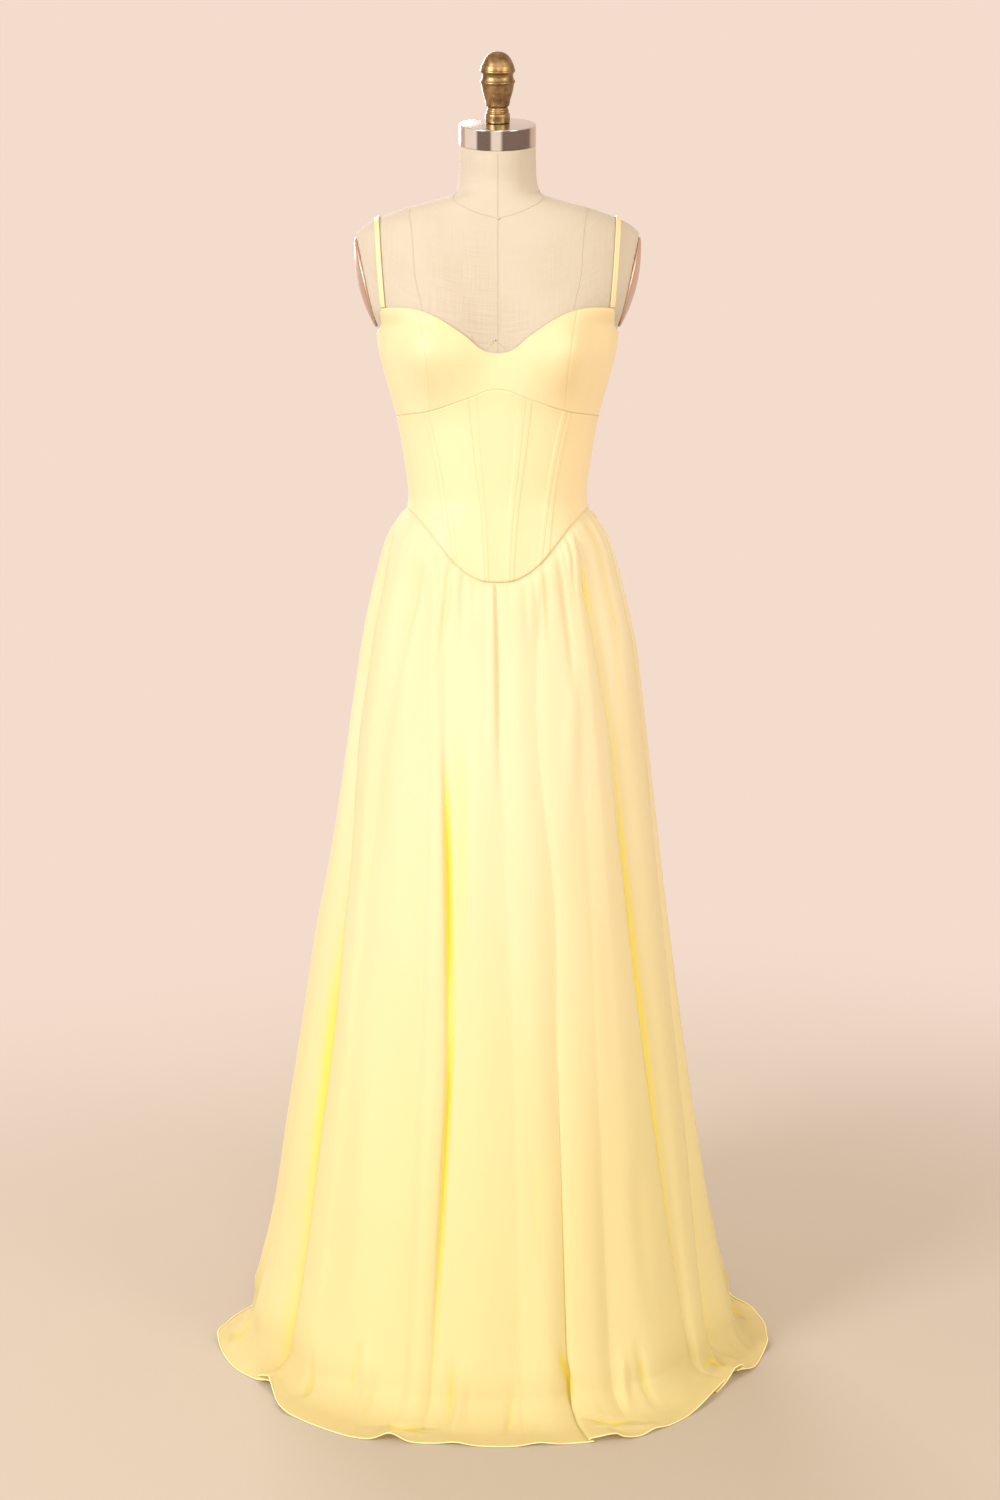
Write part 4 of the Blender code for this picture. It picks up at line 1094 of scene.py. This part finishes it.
def strap_point(turn, across, out):
    """Points of the right strap: turn goes up the front, over the shoulder and down the back."""
    turn, across, out = np.broadcast_arrays(turn, across, out)
    none = np.zeros_like(turn)
    start = np.stack((read(STRAP_LINE, "x", turn) + across, none, none + STRAP_MIDDLE), axis=-1)
    way = np.stack((none, -np.cos(np.radians(turn)), np.sin(np.radians(turn))), axis=-1)

    def inside(reach):
        return height_over_form(start + way * reach[..., None]) < 0

    base = start + way * halve(none, none + STRAP_FARTHEST, inside, 30)[0][..., None]
    steps = np.eye(3) * 0.002
    rises = [height_over_form(base + step) - height_over_form(base - step) for step in steps]
    return base + unit(np.stack(rises, axis=-1)) * out[..., None]


def strap_end(low, high):
    """The turn at which the strap comes down inside the bodice's top edge, between two turns."""
    def inside(turn):
        point = strap_point(turn, 0.0, LIE_GAP)
        angle = math.degrees(math.atan2(point[0], form_middle(point[2]) - point[1]))
        return point[2] <= edge_at(TOP_EDGE, angle) + 3 * SEAM_GAP

    return halve(low, high, inside, 30)[1]


def strap_ring(inset):
    """The strap's outline as pairs of distance from its middle line and off the form, at a depth
    inside its outer face."""
    edge = STRAP_WIDTH / 2 - STRAP_WALL / 2
    bend = STRAP_WALL / 2 - inset
    across = np.linspace(-edge, edge, 7)
    sink = STRAP_SINK * (1 - np.abs(across) * 2 / STRAP_WIDTH)
    ring = list(zip(across, LIE_GAP + STRAP_WALL / 2 + bend - sink))
    for middle, first, last in ((edge, 60, -60), (-edge, 240, 120)):
        turn = np.radians(np.linspace(first, last, 5))
        ring += list(zip(middle + bend * np.cos(turn), LIE_GAP + STRAP_WALL / 2 + bend * np.sin(turn)))
    return np.array(ring)


def make_straps():
    """Narrow tubes of cloth, pressed flat and stitched along both sides."""
    turns = np.linspace(strap_end(-30, 30), strap_end(230, 150), STRAP_STATIONS)
    rings = (strap_ring(0.0), strap_ring(STRAP_CLOTH))
    points = np.stack([strap_point(turns[:, None], ring[:, 0], ring[:, 1]) for ring in rings])
    rows, columns = points.shape[1:3]
    count = rows * columns
    outer = grid_faces(rows, columns, closed=True)
    here = np.arange(columns)
    after = np.roll(here, -1)
    start = np.stack((here, after, after + count, here + count), axis=-1)
    end = start[:, ::-1] + count - columns
    faces = np.concatenate((outer, outer[:, ::-1] + count, start, end))
    uvs = np.stack([grid_uvs(points[0])] * 2)
    sewn_at = STRAP_WIDTH / 2 - STITCH_INSET
    seams = [strap_point(turns, side * sewn_at, LIE_GAP + STRAP_WALL) for side in (-1, 1)]
    for side, name in ((-1, "strap_left"), (1, "strap_right")):
        flip = np.array((side, 1, 1))
        piece = add_mesh(name + "_cloth", points * flip, faces[:, ::side], SATIN, uvs)
        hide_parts(name)
        sewn = stitches(name + "_stitches", [seam * flip for seam in seams], THREAD)


# Skirt

def valley_angle(valley, z):
    """Angle of a valley line at a height, from its angles at six heights."""
    heights = (0, KNEE_AT, THIGH_AT, HIP_AT, WAIST_AT, SEAM_AT)
    angles = (valley.floor, valley.knee, valley.thigh, valley.hip, valley.waist, valley.seam)
    return curve(heights, angles, z)


def valley_depth(valley, z, below):
    """Depth of a valley at a height; below is the drop from the waist seam."""
    depths = (valley.deep_floor, valley.deep_knee, valley.deep_hip)
    return curve((0, KNEE_AT, HIP_AT), depths, z) * ease(below / VALLEY_START)


def fold_shape(fold, share, z, below):
    """Depth below the fold's top, push to the side and lift on the floor, in metres, part of the
    way between valleys."""
    side = 1 if share > 0.5 else -1
    valley = VALLEYS[fold + 1] if share > 0.5 else VALLEYS[fold]
    away = 2 * min(share, 1 - share)
    lean = side * valley.lean
    deep = valley_depth(valley, z, below)
    power = SOFT_VALLEY + (STEEP_GAIN if lean > 0 else SLACK_LOSS) * lean
    rounded = (math.hypot(away, VALLEY_ROUND) - VALLEY_ROUND) / (math.hypot(1, VALLEY_ROUND) - VALLEY_ROUND)
    depth = deep * (1 - rounded) ** power
    if lean <= 0:
        return depth, np.zeros_like(depth), 0.0
    push = lean * deep * math.sin(math.pi * away**PUSH_NEAR)
    wide = np.radians(valley_angle(VALLEYS[fold + 1], z) - valley_angle(VALLEYS[fold], z)) * FOLD_RADIUS
    roll = LIP_ROLL * np.clip(deep / LIP_DEEP, 0.02, 1)
    near = away * wide / 2 / roll
    grown = ease((LIP_BELOW - z) / LIP_GROWS)
    reach = LIP_REACH * lean * deep * grown
    lipped = ease(reach / LIP_FULL)
    rolled = deep * mix((1 - rounded) ** SOFT_VALLEY, 1 - ease(near / 1.6), LIP_STEEP)
    over = (reach + roll) * near * np.exp(1 - near)
    lift = LIP_LIFT * ease(near[-1] / 1.2) * (1 - ease((near[-1] - 2) / 5)) * lipped[-1]
    return mix(depth, rolled, lipped), side * mix(push, over, lipped), lift


def hang_radius(angle, z):
    """Reach of the skirt over the tops of its folds."""
    turn = np.radians(angle)
    half = np.where(np.sin(turn) > 0, read(HANGS, "right", z), read(HANGS, "left", z))
    deep = np.where(np.cos(turn) > 0, read(HANGS, "front", z), read(HANGS, "back", z))
    return ((np.sin(turn) / half) ** 2 + (np.cos(turn) / deep) ** 2) ** -0.5


def skirt_fall(fold, share, fall):
    """Points of the hanging cloth: fold is the valley's place in the table, share the way to the
    next one, fall the shares of the drop from the waist seam to the floor turn."""
    here, after = VALLEYS[fold], VALLEYS[fold + 1]
    top = np.array(SEAM_AT)
    for _ in range(6):
        angle = mix(valley_angle(here, top), valley_angle(after, top), share)
        top = edge_at(WAIST_EDGE, angle) - SEAM_GAP / 2
    z = mix(top, FLOOR_TURN, fall)
    below = top - z
    angle = mix(valley_angle(here, z), valley_angle(after, z), share)
    depth, push, lift = fold_shape(fold, share, z, below)
    radius = hang_radius(angle, z) - depth
    turn = np.radians(angle) + push / radius
    seat_out = mix(TUCKED_OUT, LIE_GAP + SKIRT_WALL, ease(below / TUCKED_LONG))
    seat = off_form(angle, np.maximum(z, SEATED_ABOVE), seat_out)
    held = np.hypot(seat[..., 0], seat[..., 1])
    freed = np.where(z > SEATED_ABOVE, ease(below / SEAT_LONG), 1.0)
    radius = np.where(z > SEATED_ABOVE, mix(held, np.maximum(radius, held), freed), radius)
    shift = np.arctan2(seat[..., 0], -seat[..., 1]) - turn
    turn = turn + (1 - freed) * ((shift + math.pi) % math.tau - math.pi)
    radius = radius + PUFF * ease(below / PUFF_START) * (1 - ease((below - PUFF_START) / PUFF_LONG))
    points = np.stack((radius * np.sin(turn), -radius * np.cos(turn), z), axis=-1)
    room = np.where(z > FORM_BOTTOM, radius - held + seat_out - PRESS_FLOOR, FREE_ROOM)
    return points, np.degrees(turn), below, lift, depth, np.maximum(room, 0.0001)


def skirt_column(fold, share, fall, lie):
    """Points from the waist seam down to the floor and out to the hem, with the angle, height and
    drop of each, where heights below the turn go on as distance out along the floor."""
    points, angles, below, lip, depth, room = skirt_fall(fold, share, fall)
    foot = points[-1]
    start = math.hypot(foot[0], foot[1])
    way = np.array([foot[0], foot[1], 0]) / start
    angle = wrap(angles[-1])
    hem = float(read(HEM, "out", angle))
    rise = np.zeros_like(lie)
    for curl in CURLS:
        off = wrap(angle - curl.angle) / curl.wide
        if abs(off) < 4:
            hem -= curl.back * math.exp(-off * off)
            rise += curl.lift * math.exp(-off * off) * lie**3
    lift = RIDGE_LIFT * math.sin(math.pi * share)
    out = lie * (hem - start)
    bend = np.minimum(1, lie / TURN_PART)
    low = SKIRT_SHELL + lift * (1 - lie) ** 2 + lip + rise
    z = mix(FLOOR_TURN, low, np.sqrt(1 - (1 - bend) ** 2))
    pool = way[None] * (start + out)[:, None]
    pool[:, 2] = z
    down = np.concatenate((points[:, 2], FLOOR_TURN - out))
    turns = np.concatenate((angles, np.full_like(out, angles[-1])))
    drop = np.concatenate((below, below[-1] + out))
    deep = np.concatenate((depth, depth[-1] * (1 - lie)))
    room = np.concatenate((room, np.full_like(lie, FREE_ROOM)))
    return np.concatenate((points, pool)), turns, down, drop, deep, room


def creased(points, turns, down, drop, room):
    """A sheet of cloth with its small creases pressed in along its normals, as far as there is
    room above what it lies on."""
    radius = np.hypot(points[..., 0], points[..., 1])
    depth = np.zeros_like(down)
    for crease in CREASES:
        from_seam = crease.z == AT_SEAM
        high = down + drop if from_seam else crease.z
        t = (high - down) / (high - crease.to_z)
        inside = (t > 0) & (t < 1)
        t = np.clip(t, 0, 1)
        middle = mix(crease.angle, crease.to_angle, t) + crease.bow * np.sin(math.pi * t)
        off = wrap(turns - middle) * np.radians(radius) / crease.wide
        start = ease(drop / SEAM_FADE) if from_seam else ease(t / START_FADE)
        depth += np.where(inside, crease.deep * np.exp(-off * off) * start * ease((1 - t) / END_FADE), 0.0)
    depth = np.where(depth > 0, room * (1 - np.exp(-depth / room)), depth)
    return points - grid_normals(points) * depth[..., None], depth


def make_skirt_panel(name, first, last):
    """One panel between two seams, as a closed thin shell that lies out on the floor."""
    fall = np.concatenate(([-TUCKED_UP, -TUCKED_UP / 2], np.linspace(0, 1, FALL_ROWS) ** FALL_SPREAD))
    lie = np.linspace(0, 1, POOL_ROWS + 1)[1:]
    columns = []
    for fold in range(first, last):
        wide = VALLEYS[fold + 1].floor - VALLEYS[fold].floor
        steps = int(FOLD_STEPS + FOLD_STEPS_PER_DEGREE * wide)
        for k in range(steps):
            t = k / steps
            share = t - FOLD_SPREAD * math.sin(math.tau * t) / math.tau
            columns.append(skirt_column(fold, share, fall, lie))
    columns.append(skirt_column(last - 1, 1.0, fall, lie))
    points, turns, down, drop, deep, room = (np.stack(kept, axis=1) for kept in zip(*columns))
    outer, pressed = creased(points, turns, down, drop, room)
    outer[..., 2] = np.maximum(outer[..., 2], SKIRT_SHELL)
    # Painted shade: each point's share of deeper yellow, from the depth of its fold and its creases
    fold_shade = np.clip(deep / FOLD_SHADE_FULL, 0, 1) + np.clip(pressed / CREASE_SHADE_FULL, -RIDGE_PAINTED_LIGHT, 1.0)
    piece = shell(name + "_cloth", outer, SKIRT_SHELL, CHIFFON, fold_shade)
    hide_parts(name)
    hem = tube(name + "_hem", [outer[-1] + np.array((0, 0, HEM_ROLL * 0.2))], HEM_ROLL, CHIFFON_EDGE)


# Stage

CAMERA_PLACE = (0.003, -2.75, 1.29)
CAMERA_DOWN = 9.94
LENS = 50.0
WORLD_COLOUR = (1.0, 0.795, 0.675)
WORLD_STRENGTH = 0.90
FLOOR_COLOUR = (0.46, 0.40, 0.33)
FLOOR_HALF = 30
FADE_FROM, FADE_TO = 0.6, 2.2
SENSOR_TALL = 36.0
LAMPS = table(
    "name place aim_z wide tall power colour",
    ("key", (-3, -2.6, 2.3), 0.9, 1.2, 1.6, 126, (0.97, 1, 0.99)),
    ("front", (0.5, -3.8, 2.2), 0.85, 1.2, 1.2, 30, (0.98, 1, 0.92)),
    ("fill", (2.7, -2.5, 2), 0.95, 1.2, 1.6, 44, (0.98, 1, 0.8)),
    ("rim", (-1, 3.2, 2.4), 0.9, 1.6, 1.6, 85, (0.97, 1, 0.99)),
)


def make_stage():
    """A pale floor that fades into the backdrop, soft lights and the camera."""
    floor = Finish("stage", 0.9)
    away = floor.add("VectorMath", {0: floor.place()}, operation="LENGTH").outputs["Value"]
    glow = floor.add("Emission", {"Color": WORLD_COLOUR, "Strength": WORLD_STRENGTH}).outputs[0]
    floor.surface(floor.both(floor.ramp(away, FADE_FROM, FADE_TO), floor.shader.outputs[0], glow))
    mesh = bpy.data.meshes.new("stage_floor")
    corners = [(x * FLOOR_HALF, y * FLOOR_HALF, 0) for x, y in ((-1, -1), (1, -1), (1, 1), (-1, 1))]
    mesh.from_pydata(corners, [], [(0, 1, 2, 3)])
    mesh.materials.append(floor.done({"Base Color": FLOOR_COLOUR}))
    plane = put_in_scene("stage_floor", mesh)

    world = bpy.data.worlds.new("studio")
    bpy.context.scene.world = world
    world.use_nodes = True
    back = world.node_tree.nodes["Background"]
    back.inputs["Color"].default_value = (*WORLD_COLOUR, 1)
    back.inputs["Strength"].default_value = WORLD_STRENGTH

    for lamp in LAMPS:
        data = bpy.data.lights.new(lamp.name, "AREA")
        data.shape = "RECTANGLE"
        data.size, data.size_y = lamp.wide, lamp.tall
        data.energy = lamp.power
        data.color = lamp.colour
        made = put_in_scene(lamp.name, data)
        made.location = lamp.place
        aim = Vector((0, 0, lamp.aim_z)) - made.location
        made.rotation_euler = aim.to_track_quat("-Z", "Y").to_euler()
        made.visible_camera = False

    data = bpy.data.cameras.new("camera")
    data.lens = LENS
    data.sensor_fit = "VERTICAL"
    data.sensor_height = SENSOR_TALL
    camera = put_in_scene("camera", data)
    camera.location = CAMERA_PLACE
    camera.rotation_euler = (math.radians(90 - CAMERA_DOWN), 0, 0)
    bpy.context.scene.camera = camera
    bpy.context.scene.view_settings.view_transform = "Standard"


make_stage()
make_torso()
make_form_seams()
make_neck_fittings()
make_arm_plate(-1)
make_arm_plate(1)
make_pins()
make_bodice()
make_straps()
make_skirt_panel("skirt_front", SIDE_LEFT, SIDE_RIGHT)
make_skirt_panel("skirt_back_right", SIDE_RIGHT, CENTRE_BACK)
make_skirt_panel("skirt_back_left", CENTRE_BACK, ROUND)
for name, finish in (("stand_pole", STEEL), ("stand_socket", IRON), ("stand_base", IRON)):
    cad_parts[name].data.materials[0] = finish
